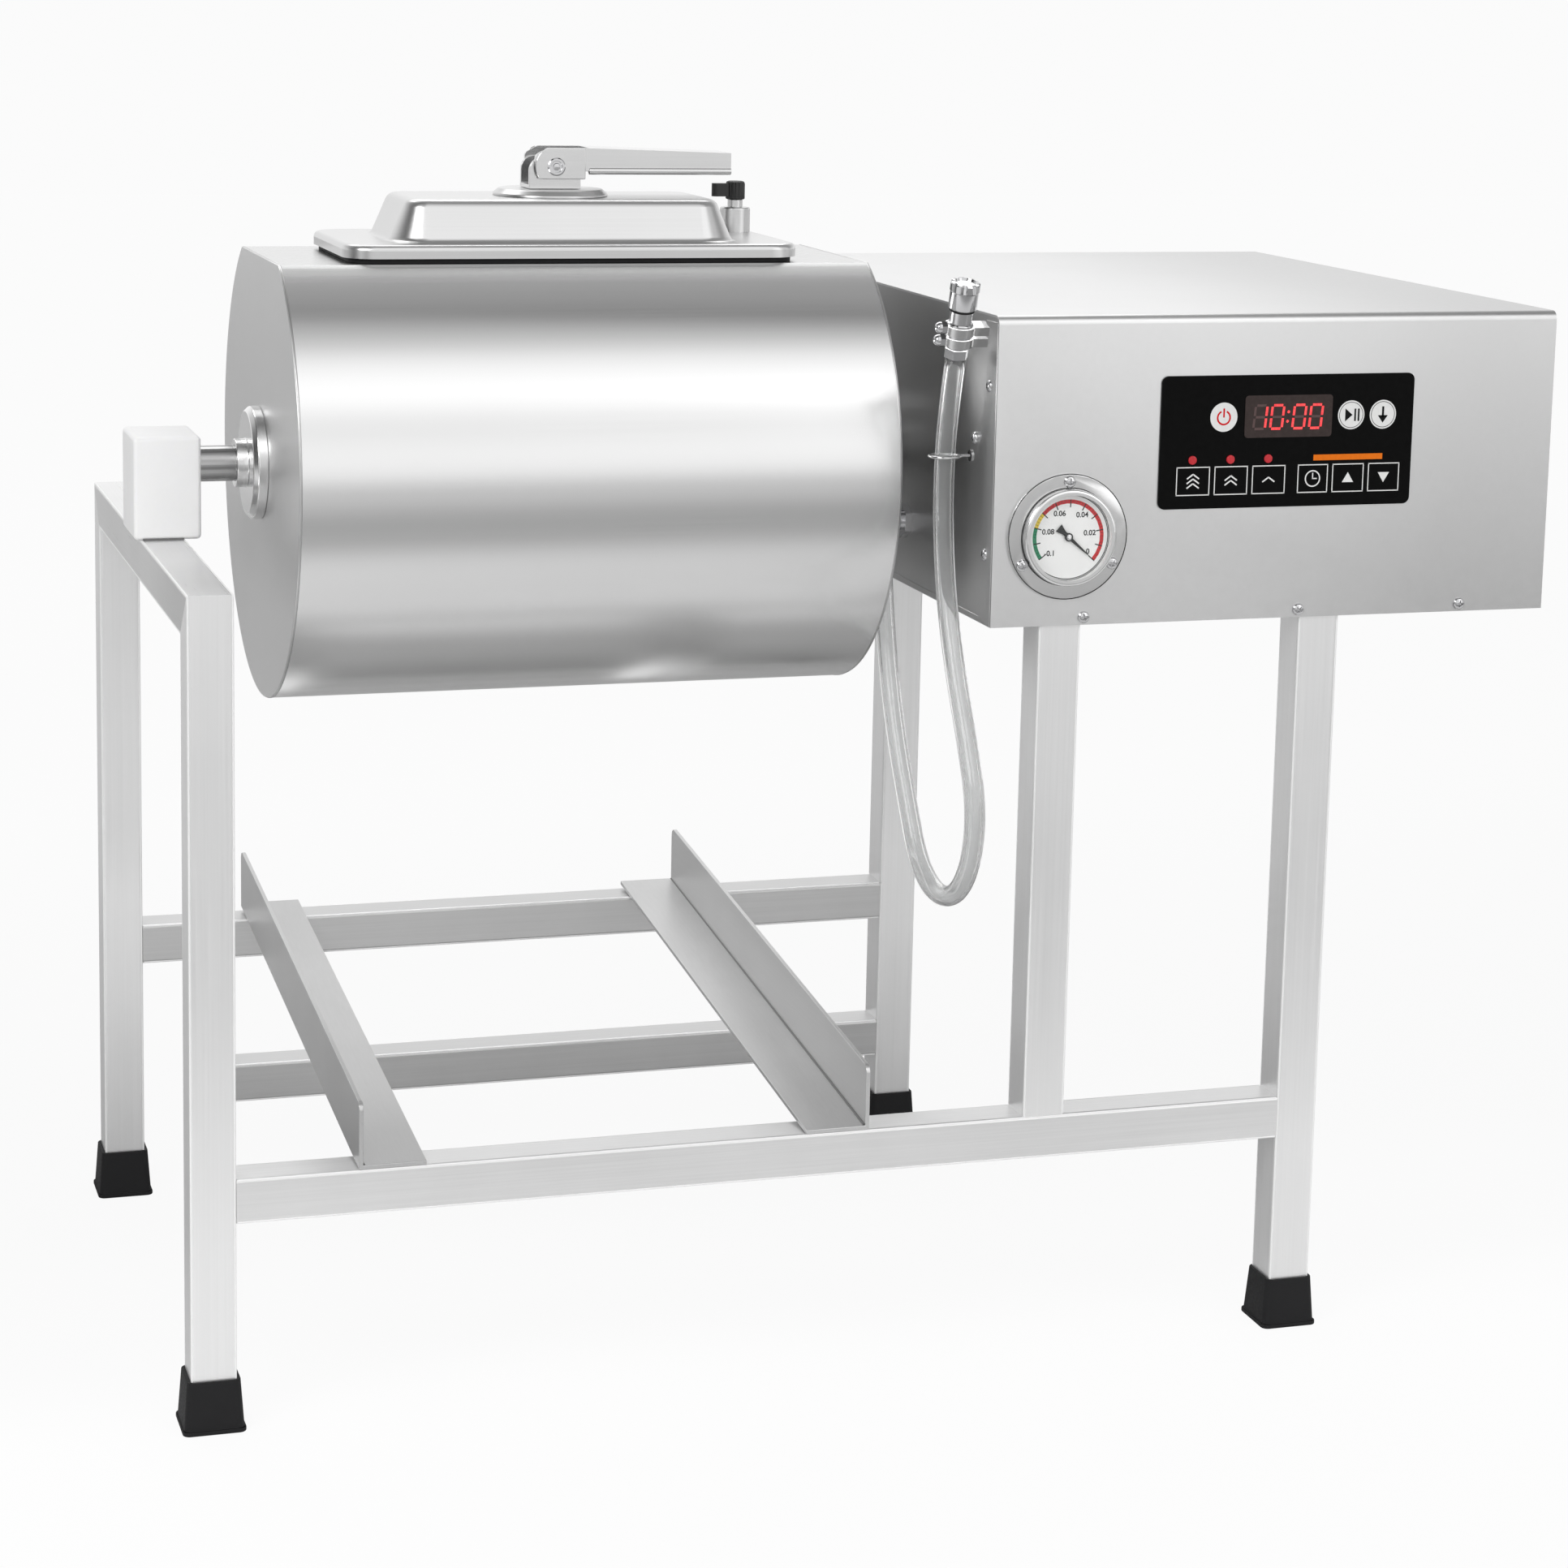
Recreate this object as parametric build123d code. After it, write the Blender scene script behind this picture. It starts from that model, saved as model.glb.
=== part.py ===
from build123d import *
import os
from math import cos, pi, radians, sin, tan

# Meat vacuum tumbler: a steel drum with a clamped lid turns between a plastic bearing block
# on a portal of square tube and a gear motor in a sheet steel box.
# X runs from the bearing block to the box, Y from the front to the rear, Z up from the floor.

# Tube frame
tube = 30.0
tube_wall = 1.5
tube_corner = 2.5
frame_width = 500.0
portal_height = 554.0
front_rail_height = 170.0
rear_upper_rail_height = 214.0
rear_lower_rail_height = 98.0
front_post_inset = 36.0
rear_leg_inset = 90.0
right_leg_inset = 228.0
hanger_place = 68.0

# Rubber feet
foot_sole = 4.0
foot_height = 35.0
foot_wall = 2.5
foot_flare = 2.2
foot_lip = 3.0

# Angle irons that carry the meat tray
angle_leg = 45.0
angle_sheet = 3.0
angle_corner = 6.0
left_angle_place = 110.0
right_angle_place = 458.0

# Box
sheet = 1.5
drum_box_gap = 34.0
box_width = 414.0
box_drop = 87.0
box_height = 210.0
box_overhang = 2.0
bend_radius = 6.0
vent_rows = 7
vent_length = 90.0
vent_height = 4.0
vent_pitch = 12.0
vent_margin = 60.0

# Drum
axis_rise = 48.0
drum_start = 86.0
drum_length = 417.0
drum_radius = 164.0
drum_wall = 2.0
flat_height = 144.0
opening_length = 282.0
opening_width = 104.0
opening_corner = 26.0
collar_depth = 10.0
baffle_count = 3
baffle_height = 26.0
baffle_lean = 25.0
shaft_diameter = 25.0
hub_diameter = 79.0
hub_thickness = 10.0
hub_boss_diameter = 34.0
hub_boss_length = 8.0
shaft_hole = 36.0

# Bearing block
block_length = 46.0
block_depth = 62.0
block_height = 71.0
block_overhang = 5.0
block_edge = 3.0
block_end_wall = 8.0
shaft_end_gap = 2.0
shaft_chamfer = 1.0
bolt_diameter = 8.0
bolt_head = 13.0
bolt_head_height = 5.5
bolt_reach = 22.0
bolt_end_gap = 1.0
bolt_spacing = 32.0

# Lid
lid_length = 322.0
lid_width = 152.0
lid_corner = 22.0
lid_edge = 4.0
lid_sheet = 1.5
gasket_height = 11.0
gasket_width = 9.0
gasket_inset = 2.0
skirt_lift = 3.5
dome_length = 245.0
dome_width = 118.0
dome_shift = -2.0
dome_height = 29.0
dome_taper = 23.0
dome_corner = 27.0
dome_edge = 8.0
dome_foot = 5.0

# Clamp on the lid
clamp_shift = -3.0
disc_diameter = 81.0
disc_height = 5.0
disc_bevel = 4.0
stem_diameter = 12.0
fork_length = 37.0
fork_width = 29.0
fork_sheet = 3.0
fork_height = 22.0
bar_length = 124.0
bar_width = 22.0
bar_thickness = 8.0
bar_gap = 2.0
pin_height = 16.0
pin_diameter = 8.0
pin_head = 12.0
pin_head_height = 2.0
lever_gap = 0.5
lever_sheet = 2.5
lever_head_radius = 13.0
lever_head_front = 20.0
lever_reach = 127.5
lever_depth = 13.0
lever_drop = 3.0
lever_shoulder = 4.0
lever_corner = 3.5
lip_diameter = 5.0

# Valve on the lid
valve_place = 145.5
valve_depth = 42.0
valve_foot = 22.0
valve_foot_height = 18.0
valve_foot_edge = 1.5
valve_neck = 11.0
valve_neck_height = 5.0
knob_diameter = 14.0
knob_height = 13.5
knob_edge = 1.5
knob_tab = 11.0
knob_tab_width = 8.0
knob_tab_thickness = 5.0
knob_tab_hole = 3.5

# Gauge on the front of the box
gauge_inset = 53.0
gauge_rise = 61.0
gauge_flange = 86.0
gauge_flange_sheet = 2.0
gauge_case_diameter = 58.0
gauge_case_depth = 28.0
gauge_case_wall = 1.5
bezel_diameter = 66.0
bezel_depth = 7.0
bezel_wall = 4.0
dial_sheet = 0.6
lens_sheet = 1.5
needle_length = 22.0
needle_tail = 9.0
needle_width = 3.2
needle_sheet = 0.8
needle_hub = 6.0
needle_zero = -40.0
gauge_screw_circle = 37.5

# Keypad on the front of the box
keypad_inset = 212.0
keypad_rise = 123.0
keypad_width = 188.0
keypad_tall = 91.0
keypad_corner = 5.0
keypad_film = 1.2
window_width = 65.0
window_tall = 29.0
window_shift_x = 0.0
window_shift_z = 17.0
window_film = 0.6
lamp_diameter = 6.0
lamp_height = 1.2
lamp_count = 3
lamp_pitch = 28.0
lamp_shift_x = -70.0
lamp_shift_z = -12.0

# Screws
screw_head = 8.5
screw_head_height = 2.6
screw_shank = 4.0
screw_length = 6.0
front_screw_places = [67.0, 226.0, 349.0]
front_screw_rise = 5.5
left_screw_places = [(13.0, 162.0), (13.0, 48.0), (38.0, 192.0), (38.0, 124.0)]

# Hose, its nozzle and what holds it
hose_diameter = 14.0
hose_standoff = 20.0
elbow_foot = 22.0
elbow_foot_height = 5.0
elbow_neck = 14.0
cap_diameter = 22.0
cap_length = 19.0
cap_chamfer = 1.2
collar_diameter = 17.0
collar_length = 10.0
nozzle_diameter = 18.0
nozzle_length = 18.0
nut_diameter = 15.0
nut_length = 7.5
clip_strip = 1.2
clip_height = 6.0
clip_margin = 2.0
clip_mouth = 35.0
guide_wire = 2.0
guide_gap = 2.5
guide_shift = 4.0
guide_lift = 14.0

# Inside the box
bearing_side = 92.0
bearing_depth = 14.0
gearbox_side = 96.0
gearbox_length = 74.0
gearbox_chamfer = 5.0
motor_diameter = 104.0
motor_length = 168.0
motor_fins = 10
motor_rib = 5.5
motor_spigot = 8.0
bracket_sheet = 4.0
pump_length = 150.0
pump_diameter = 70.0
pump_corner = 6.0
pump_side_gap = 12.5
pump_rear_gap = 43.5
board_width = 176.0
board_tall = 84.0
board_sheet = 1.6
board_standoff = 12.0
post_diameter = 6.0
chip_side = 20.0
chip_height = 3.0
gland_diameter = 20.0
gland_length = 16.0
gland_edge = 2.0
lead_diameter = 8.4
gland_place = 340.0
gland_rise = 30.0

# Clearances
seat_gap = 0.3
running_gap = 0.05
hole_gap = 0.2

# Places worked out from the sizes above
axis_depth = frame_width / 2
axis_height = portal_height + axis_rise
box_bottom = axis_height - box_drop
drum_end = drum_start + drum_length
drum_middle = drum_start + drum_length / 2
box_left = drum_end + drum_box_gap
front_post_place = box_left + front_post_inset
rear_leg_place = box_left + rear_leg_inset
right_leg_place = box_left + right_leg_inset
gauge_place = box_left + gauge_inset
keypad_place = box_left + keypad_inset
gauge_height = box_bottom + gauge_rise
keypad_height = box_bottom + keypad_rise
flat_top = axis_height + flat_height
box_right = box_left + box_width
box_front = -box_overhang
box_rear = frame_width
box_top = box_bottom + box_height
lid_seat = flat_top + seat_gap
lid_top = lid_seat + gasket_height + lid_sheet
dome_top = lid_top + dome_height
clamp_x = drum_middle + clamp_shift
valve_x = drum_middle + valve_place
valve_y = axis_depth + valve_depth
disc_top = dome_top + disc_height
pin_z = disc_top + pin_height
bar_top = flat_top - drum_wall - collar_depth - bar_gap
hose_x = box_left - hose_standoff

# Hose centre line from the nozzle down, round the loop and up to the elbow on the box:
# how far to the right, how far back and how far above the bottom of the box each point is
hose_points = [
    (0.0, 26.0, 180.0),
    (0.0, 38.0, 140.0),
    (0.0, 43.0, 97.0),
    (0.0, 40.0, 53.0),
    (0.5, 30.0, 9.0),
    (1.0, 10.0, -35.0),
    (1.5, -14.0, -75.0),
    (2.0, -34.0, -116.0),
    (2.0, -27.5, -155.5),
    (2.0, -0.5, -185.0),
    (1.5, 38.5, -194.0),
    (1.0, 76.0, -179.5),
    (0.5, 98.0, -146.0),
    (0.0, 122.0, -108.0),
    (0.0, 143.0, -66.0),
    (0.0, 159.0, -16.0),
    (0.0, 169.0, 33.0),
]
hose_route = [(hose_x + right, back, box_bottom + rise) for right, back, rise in hose_points]


def rod(diameter, length):
    return Cylinder(diameter / 2, length, align=(Align.CENTER, Align.CENTER, Align.MIN))


def hexagon(across, length):
    return extrude(RegularPolygon(across / 2, 6, major_radius=False), length)


def axis_rod(start, end, diameter):
    """A round bar along the drum's axis."""
    return Pos(start, axis_depth, axis_height) * Rot(0, 90, 0) * rod(diameter, end - start)


def square_tube(length):
    """A square tube on the Z axis, from the ground plane up."""
    inner = tube - 2 * tube_wall
    section = RectangleRounded(tube, tube, tube_corner)
    section -= RectangleRounded(inner, inner, tube_corner - tube_wall)
    return extrude(section, length)


def upright(x, y, bottom, top):
    """A tube that stands with its left front corner at x and y."""
    return Pos(x + tube / 2, y + tube / 2, bottom) * square_tube(top - bottom)


def rail(x, y, top, length):
    """A tube that runs along X with its top face at the given height."""
    return Pos(x, y + tube / 2, top - tube / 2) * Rot(0, 90, 0) * square_tube(length)


def portal_leg(y, corner_y, side):
    """A leg of the portal, cut at 45 degrees where it meets the beam."""
    leg = upright(0, y, foot_sole, portal_height)
    plane = Plane(origin=(0, corner_y, portal_height), z_dir=(0, side, 1))
    return split(leg, bisect_by=plane, keep=Keep.BOTTOM)


def portal_beam():
    start = Pos(tube / 2, 0, portal_height - tube / 2)
    beam = start * Rot(-90, 0, 0) * square_tube(frame_width)
    for corner_y, side in ((0, 1), (frame_width, -1)):
        plane = Plane(origin=(0, corner_y, portal_height), z_dir=(0, side, 1))
        beam = split(beam, bisect_by=plane, keep=Keep.TOP)
    for y in block_bolt_rows():
        beam -= Pos(block_middle(), y, portal_height) * Cylinder(bolt_diameter / 2 + hole_gap, 3 * tube)
    return beam


def rubber_feet():
    """Four sleeves that the legs stand in, wider at the sole and with a small lip round it."""
    top_side = tube + 2 * foot_wall
    sole_side = top_side + 2 * foot_flare
    lip_side = sole_side + foot_flare
    corner = tube_corner + foot_wall
    lip = extrude(RectangleRounded(lip_side, lip_side, corner), foot_lip)
    sole = Pos(0, 0, foot_lip) * RectangleRounded(sole_side, sole_side, corner)
    mouth = Pos(0, 0, foot_height) * RectangleRounded(top_side, top_side, corner)
    pocket = Pos(0, 0, foot_sole) * extrude(RectangleRounded(tube, tube, tube_corner), foot_height)
    foot = lip + loft([sole, mouth]) - pocket
    rear = frame_width - tube
    corners = ((0, 0), (0, rear), (right_leg_place, 0), (rear_leg_place, rear))
    return [Pos(x + tube / 2, y + tube / 2, 0) * foot for x, y in corners]


def tray_angle(x, hand):
    """An angle iron on the front rail and the rear upper rail, so that it slopes forward."""
    slope = (rear_upper_rail_height - front_rail_height) / (frame_width - tube)
    front = front_rail_height
    rear = front + slope * frame_width
    sloped = []
    for tall, wide in ((angle_leg, angle_sheet), (angle_sheet, angle_leg)):
        side = Polyline((0, front), (frame_width, rear), (frame_width, rear + tall), (0, front + tall),
                        close=True)
        sloped.append(extrude(Plane.YZ * make_face(side), wide))
    web, foot = sloped
    if hand < 0:
        foot = Pos(angle_sheet - angle_leg, 0, 0) * foot
    iron = web + foot
    middle = front + angle_leg / 2
    top = [edge for edge in iron.edges().filter_by(Axis.X)
           if edge.center().Z > middle + slope * edge.center().Y and edge.length < angle_leg / 2]
    return Pos(x, 0, 0) * fillet(top, angle_corner)


def block_middle():
    return block_length / 2 - block_overhang


def block_bolt_rows():
    return [axis_depth - bolt_spacing / 2, axis_depth + bolt_spacing / 2]


def bearing_block():
    block = Pos(block_middle(), axis_depth, portal_height + block_height / 2)
    block = block * Box(block_length, block_depth, block_height)
    block = fillet(block.edges(), block_edge)
    start = block_end_wall - block_overhang
    block -= axis_rod(start, start + block_length, shaft_diameter + 2 * running_gap)
    for y in block_bolt_rows():
        hole = Cylinder(bolt_diameter / 2 + hole_gap, 2 * (bolt_reach + bolt_end_gap))
        block -= Pos(block_middle(), y, portal_height) * hole
    return block


def block_bolts():
    """Two hexagon bolts that come up through the beam into the block."""
    bolt = Pos(0, 0, -bolt_head_height) * hexagon(bolt_head, bolt_head_height)
    bolt += rod(bolt_diameter, tube + bolt_reach)
    return [Pos(block_middle(), y, portal_height - tube) * bolt for y in block_bolt_rows()]


def drum_profile(inset):
    """The drum's cross section: a circle cut off flat at the top."""
    circle = Circle(drum_radius - inset)
    cut = Pos(0, flat_height - inset) * Rectangle(4 * drum_radius, 2 * drum_radius,
                                                 align=(Align.CENTER, Align.MIN))
    return circle - cut


def along_axis(x):
    """Stands a section drawn in X and Y across the drum's axis at x, with its Y up."""
    return Plane(origin=(x, axis_depth, axis_height), x_dir=(0, 1, 0), z_dir=(1, 0, 0)).location


def drum_opening(grow, depth, top):
    long, wide = opening_length + 2 * grow, opening_width + 2 * grow
    section = RectangleRounded(long, wide, opening_corner + grow)
    return Pos(drum_middle, axis_depth, top - depth) * extrude(section, depth)


def drum_wall_part(keep_flat):
    """The drum's wall between its ends: the flat strip at the top, or the rolled sheet below it."""
    section = drum_profile(0) - drum_profile(drum_wall)
    strip = Pos(0, flat_height - drum_wall) * Rectangle(
        4 * drum_radius, 2 * drum_wall, align=(Align.CENTER, Align.MIN))
    section = section & strip if keep_flat else section - strip
    return along_axis(drum_start + drum_wall) * extrude(section, drum_length - 2 * drum_wall)


def drum_flat():
    return drum_wall_part(True) - drum_opening(0, 2 * collar_depth, flat_top + collar_depth)


def drum_end_plate(x):
    hole = Circle(shaft_diameter / 2 + running_gap)
    return along_axis(x) * extrude(drum_profile(0) - hole, drum_wall)


def opening_collar():
    """A rim welded under the opening, which the clamp bar bears on."""
    top = flat_top - drum_wall
    return drum_opening(drum_wall, collar_depth, top) - drum_opening(0, collar_depth, top)


def drum_baffles():
    """Bent vanes along the inside of the drum that lift and drop the meat."""
    inner = drum_radius - drum_wall
    length = drum_length - 2 * drum_wall - 2 * collar_depth
    root = -(inner - seat_gap)
    lean = baffle_height * tan(radians(baffle_lean))
    line = Polyline((0, root), (0, root + baffle_height / 2), (lean, root + baffle_height))
    vane = make_face(offset(line, drum_wall / 2, kind=Kind.INTERSECTION, side=Side.BOTH))
    vane = vane & Circle(inner)
    step = 270 / baffle_count
    turns = [-step + step * index for index in range(baffle_count)]
    bar = extrude(vane, length)
    return [along_axis(drum_middle - length / 2) * Rot(0, 0, turn) * bar for turn in turns]


def hub_flange(x, side):
    """A chamfered disc and boss welded on an end plate round the shaft."""
    disc = rod(hub_diameter, hub_thickness)
    disc = chamfer(disc.edges().sort_by(Axis.Z)[-1], hub_thickness / 3)
    hub = disc + Pos(0, 0, hub_thickness) * rod(hub_boss_diameter, hub_boss_length)
    hub -= rod(shaft_diameter + 2 * running_gap, 2 * hub_thickness + hub_boss_length)
    return Pos(x, axis_depth, axis_height) * Rot(0, 90 * side, 0) * hub


def stub_shaft():
    start = block_end_wall - block_overhang + shaft_end_gap
    shaft = axis_rod(start, drum_start + drum_wall, shaft_diameter)
    return chamfer(shaft.edges().sort_by(Axis.X)[0], shaft_chamfer)


def drive_shaft():
    end = gearbox_start() + gearbox_length - 2 * shaft_end_gap
    return axis_rod(drum_end - drum_wall, end, shaft_diameter)


def lid_plate(grow, z, height):
    section = RectangleRounded(lid_length + 2 * grow, lid_width + 2 * grow, lid_corner + grow)
    return Pos(drum_middle, axis_depth, z) * extrude(section, height)


def lid_dome(inset, drop):
    """The raised middle of the lid, with sloping sides and a rounded upper edge."""
    length = dome_length - 2 * inset
    width = dome_width - 2 * inset
    section = RectangleRounded(length, width, dome_corner - inset)
    dome = extrude(section, dome_height - drop, taper=dome_taper)
    dome = fillet(dome.edges().group_by(Axis.Z)[-1], dome_edge - inset / 2)
    return Pos(drum_middle + dome_shift, axis_depth, lid_top) * dome


def lid_shell():
    bottom = flat_top + skirt_lift
    plate = lid_plate(0, bottom, lid_top - bottom)
    plate = fillet(plate.edges().group_by(Axis.Z)[-1], lid_edge)
    plate -= lid_plate(-lid_sheet, bottom, lid_top - lid_sheet - bottom)
    dome = lid_dome(0, 0)
    hollow = lid_dome(lid_sheet, lid_sheet)
    mouth = extrude(hollow.faces().sort_by(Axis.Z)[0], lid_sheet, dir=(0, 0, 1))
    hollow += Pos(0, 0, -lid_sheet) * mouth
    lid = plate + dome
    foot = [edge for edge in lid.edges()
            if abs(edge.center().Z - lid_top) < 0.01 and edge.bounding_box().size.Z < 0.01
            and abs(edge.center().Y - axis_depth) < (dome_width + 1) / 2
            and abs(edge.center().X - drum_middle - dome_shift) < (dome_length + 1) / 2]
    lid = fillet(foot, dome_foot) - hollow
    lid -= Pos(clamp_x, axis_depth, dome_top) * Cylinder(stem_diameter / 2 + seat_gap, 2 * dome_height)
    return lid


def lid_gasket():
    inset = lid_sheet + gasket_inset
    inner = lid_plate(-inset - gasket_width, lid_seat, gasket_height)
    return lid_plate(-inset, lid_seat, gasket_height) - inner


def clamp_disc():
    """A shallow stepped washer that spreads the clamp's pull over the dome."""
    radius = disc_diameter / 2
    hole = stem_diameter / 2 + seat_gap
    half = make_face(Polyline(
        (hole, 0), (radius, 0), (radius, disc_height / 3), (radius - disc_bevel, disc_height),
        (hole, disc_height), close=True))
    return Pos(clamp_x, axis_depth, dome_top) * revolve(Plane.XZ * half, Axis.Z)


def clamp_fork():
    """The fork that the lever pivots in, with the stem that carries the bar."""
    base_z = disc_top + seat_gap
    base = Box(fork_length, fork_width, fork_sheet, align=(Align.CENTER, Align.CENTER, Align.MIN))
    fork = Pos(clamp_x, axis_depth, base_z) * base
    cheek = Box(fork_length, fork_sheet, fork_height, align=(Align.CENTER, Align.CENTER, Align.MIN))
    cheek = fillet(cheek.edges().filter_by(Axis.Y).group_by(Axis.Z)[-1], fork_length / 4)
    for side in (-1, 1):
        fork += Pos(clamp_x, axis_depth + side * (fork_width - fork_sheet) / 2, base_z) * cheek
    hole = Cylinder(pin_diameter / 2 + running_gap, 2 * fork_width)
    fork -= Pos(clamp_x, axis_depth, pin_z) * Rot(90, 0, 0) * hole
    bottom = bar_top - bar_thickness
    return fork + Pos(clamp_x, axis_depth, bottom) * rod(stem_diameter, base_z - bottom)


def clamp_bar():
    """The bar under the opening's rim, with a nut under it on the stem."""
    bar = Box(bar_length, bar_width, bar_thickness, align=(Align.CENTER, Align.CENTER, Align.MAX))
    bar = fillet(bar.edges().filter_by(Axis.Z), bar_width / 3)
    bar = Pos(clamp_x, axis_depth, bar_top) * bar
    return bar - Pos(clamp_x, axis_depth, bar_top) * Cylinder(stem_diameter / 2, 4 * bar_thickness)


def lever_outline():
    """The cheek of the lever seen from the front, with the pin at the origin."""
    head = lever_head_radius
    back = -head * 1.16
    low = -0.68 * head
    shoulder = lever_head_front + lever_shoulder
    return make_face(Polyline(
        (back, 0.2 * head), (back * 0.72, low), (lever_head_front, low),
        (lever_head_front, -lever_drop), (lever_reach, -lever_drop),
        (lever_reach, lever_depth - lever_drop), (shoulder, lever_depth),
        (back * 0.4, lever_depth), (back, 0.62 * head), close=True))


def clamp_lever():
    """A folded lever: two cheeks round the fork, a web along the top and rolled lower edges."""
    inner = fork_width / 2 + lever_gap
    cheek = Plane.XZ * lever_outline()
    corners = [vertex for vertex in cheek.vertices() if vertex.X < 0]
    cheek = fillet(corners, lever_corner)
    front = extrude(cheek, lever_sheet)
    lever = Pos(0, -inner, 0) * front + Pos(0, inner + lever_sheet, 0) * front
    web_start = lever_head_front + lever_shoulder
    end_depth = lever_depth - lever_drop
    web = Plane.XZ * make_face(Polyline(
        (web_start, lever_depth), (lever_reach, end_depth), (lever_reach, end_depth - lever_sheet),
        (web_start, lever_depth - lever_sheet), close=True))
    lever += Pos(0, inner, 0) * extrude(web, 2 * inner)
    lip = Rot(0, 90, 0) * rod(lip_diameter, lever_reach - web_start)
    for side in (-1, 1):
        lever += Pos(web_start, side * (inner + lever_sheet / 2), -lever_drop) * lip
    lever -= Rot(90, 0, 0) * Cylinder(pin_diameter / 2 + running_gap, 4 * fork_width)
    return Pos(clamp_x, axis_depth, pin_z) * lever


def lever_pin():
    reach = fork_width / 2 + lever_gap + lever_sheet
    pin = Cylinder(pin_diameter / 2, 2 * reach)
    head = rod(pin_head, pin_head_height)
    head = fillet(head.edges().sort_by(Axis.Z)[-1], pin_head_height / 2)
    pin += Pos(0, 0, reach) * head
    pin += Pos(0, 0, -reach) * Rot(180, 0, 0) * head
    return Pos(clamp_x, axis_depth, pin_z) * Rot(90, 0, 0) * pin


def valve_body():
    """The vacuum valve's turned foot and threaded neck on the lid's right end."""
    body = rod(valve_foot, valve_foot_height)
    body = fillet(body.edges().sort_by(Axis.Z)[-1], valve_foot_edge)
    body += Pos(0, 0, valve_foot_height) * rod(valve_neck, valve_neck_height)
    body -= Cylinder(valve_neck / 4, 4 * valve_neck_height)
    return Pos(valve_x, valve_y, lid_top) * body


def valve_knob():
    """The black knob on the neck, with an eared tab."""
    bottom = lid_top + valve_foot_height + valve_neck_height + seat_gap
    knob = rod(knob_diameter, knob_height)
    knob = fillet(knob.edges().sort_by(Axis.Z)[-1], knob_edge)
    reach = knob_diameter / 2 + knob_tab - knob_tab_width / 2
    ear = Pos(-reach, 0)
    tab = Pos(-reach / 2, 0) * Rectangle(reach, knob_tab_width) + ear * Circle(knob_tab_width / 2)
    tab -= ear * Circle(knob_tab_hole / 2)
    knob += Pos(0, 0, knob_height / 4) * extrude(tab, knob_tab_thickness)
    return Pos(valve_x, valve_y, bottom) * knob


def facing(x, z, y=None):
    """A frame on the front of the box: its X to the right, its Y up, its Z out to the viewer."""
    depth = box_front if y is None else y
    return Plane(origin=(x, depth, z), x_dir=(1, 0, 0), z_dir=(0, -1, 0))


def on_front(shape, x, z, out=0.0):
    return facing(x, z, box_front - out).location * shape


def pan_screw():
    """A pan head screw along Z, with its seat at zero and its head above."""
    head = rod(screw_head, screw_head_height)
    head = fillet(head.edges().sort_by(Axis.Z)[-1], screw_head_height * 0.8)
    return head + Pos(0, 0, -screw_length) * rod(screw_shank, screw_length)


def gauge_screw_spots():
    return [(gauge_screw_circle * cos(radians(turn)), gauge_screw_circle * sin(radians(turn)))
            for turn in (90, 210, 330)]


def front_screw_spots():
    return [(box_left + place, box_bottom + front_screw_rise) for place in front_screw_places]


def screw_hole(depth):
    return Pos(0, 0, -depth) * rod(screw_shank + 2 * hole_gap, 2 * depth)


def box_cover():
    """The folded sheet that makes the front and the top."""
    outer = Polyline((box_front, box_bottom), (box_front, box_top), (box_rear, box_top),
                     (box_rear, box_top - sheet), (box_front + sheet, box_top - sheet),
                     (box_front + sheet, box_bottom), close=True)
    face = make_face(outer)
    face = fillet(face.vertices().sort_by(Axis.Y)[-2:].sort_by(Axis.X)[0], bend_radius)
    inner = [corner for corner in face.vertices()
             if abs(corner.X - box_front - sheet) < 0.01 and corner.Y > box_top - 2 * sheet]
    face = fillet(inner, bend_radius - sheet)
    cover = Pos(box_left, 0, 0) * extrude(Plane.YZ * face, box_width)
    gauge_hole = Pos(0, 0, -2 * sheet) * rod(gauge_case_diameter + 2 * hole_gap, 4 * sheet)
    cover -= on_front(gauge_hole, gauge_place, gauge_height)
    for x, z in gauge_screw_spots():
        cover -= on_front(screw_hole(2 * sheet), gauge_place + x, gauge_height + z)
    for x, z in front_screw_spots():
        cover -= on_front(screw_hole(2 * sheet), x, z)
    return cover


def side_panel(x):
    """A flat side of the box, rounded where the cover is bent over it."""
    low = box_bottom + sheet
    high = box_top - sheet
    front = box_front + sheet
    rear = box_rear - sheet
    plate = Box(sheet, rear - front, high - low, align=(Align.MIN, Align.MIN, Align.MIN))
    plate = Pos(x, front, low) * plate
    corner = plate.edges().filter_by(Axis.X).group_by(Axis.Z)[-1].sort_by(Axis.Y)[0]
    return fillet(corner, bend_radius - sheet)


def on_left(shape, y, z):
    """Puts a screw or a hole on the outside of the box's left panel."""
    spot = Plane(origin=(box_left, box_front + y, box_bottom + z), x_dir=(0, -1, 0), z_dir=(-1, 0, 0))
    return spot.location * shape


def left_panel():
    plate = side_panel(box_left)
    plate -= axis_rod(box_left - sheet, box_left + 2 * sheet, shaft_hole)
    for y, z in left_screw_places:
        plate -= on_left(screw_hole(2 * sheet), y, z)
    return plate


def right_panel():
    return side_panel(box_right - sheet)


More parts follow.
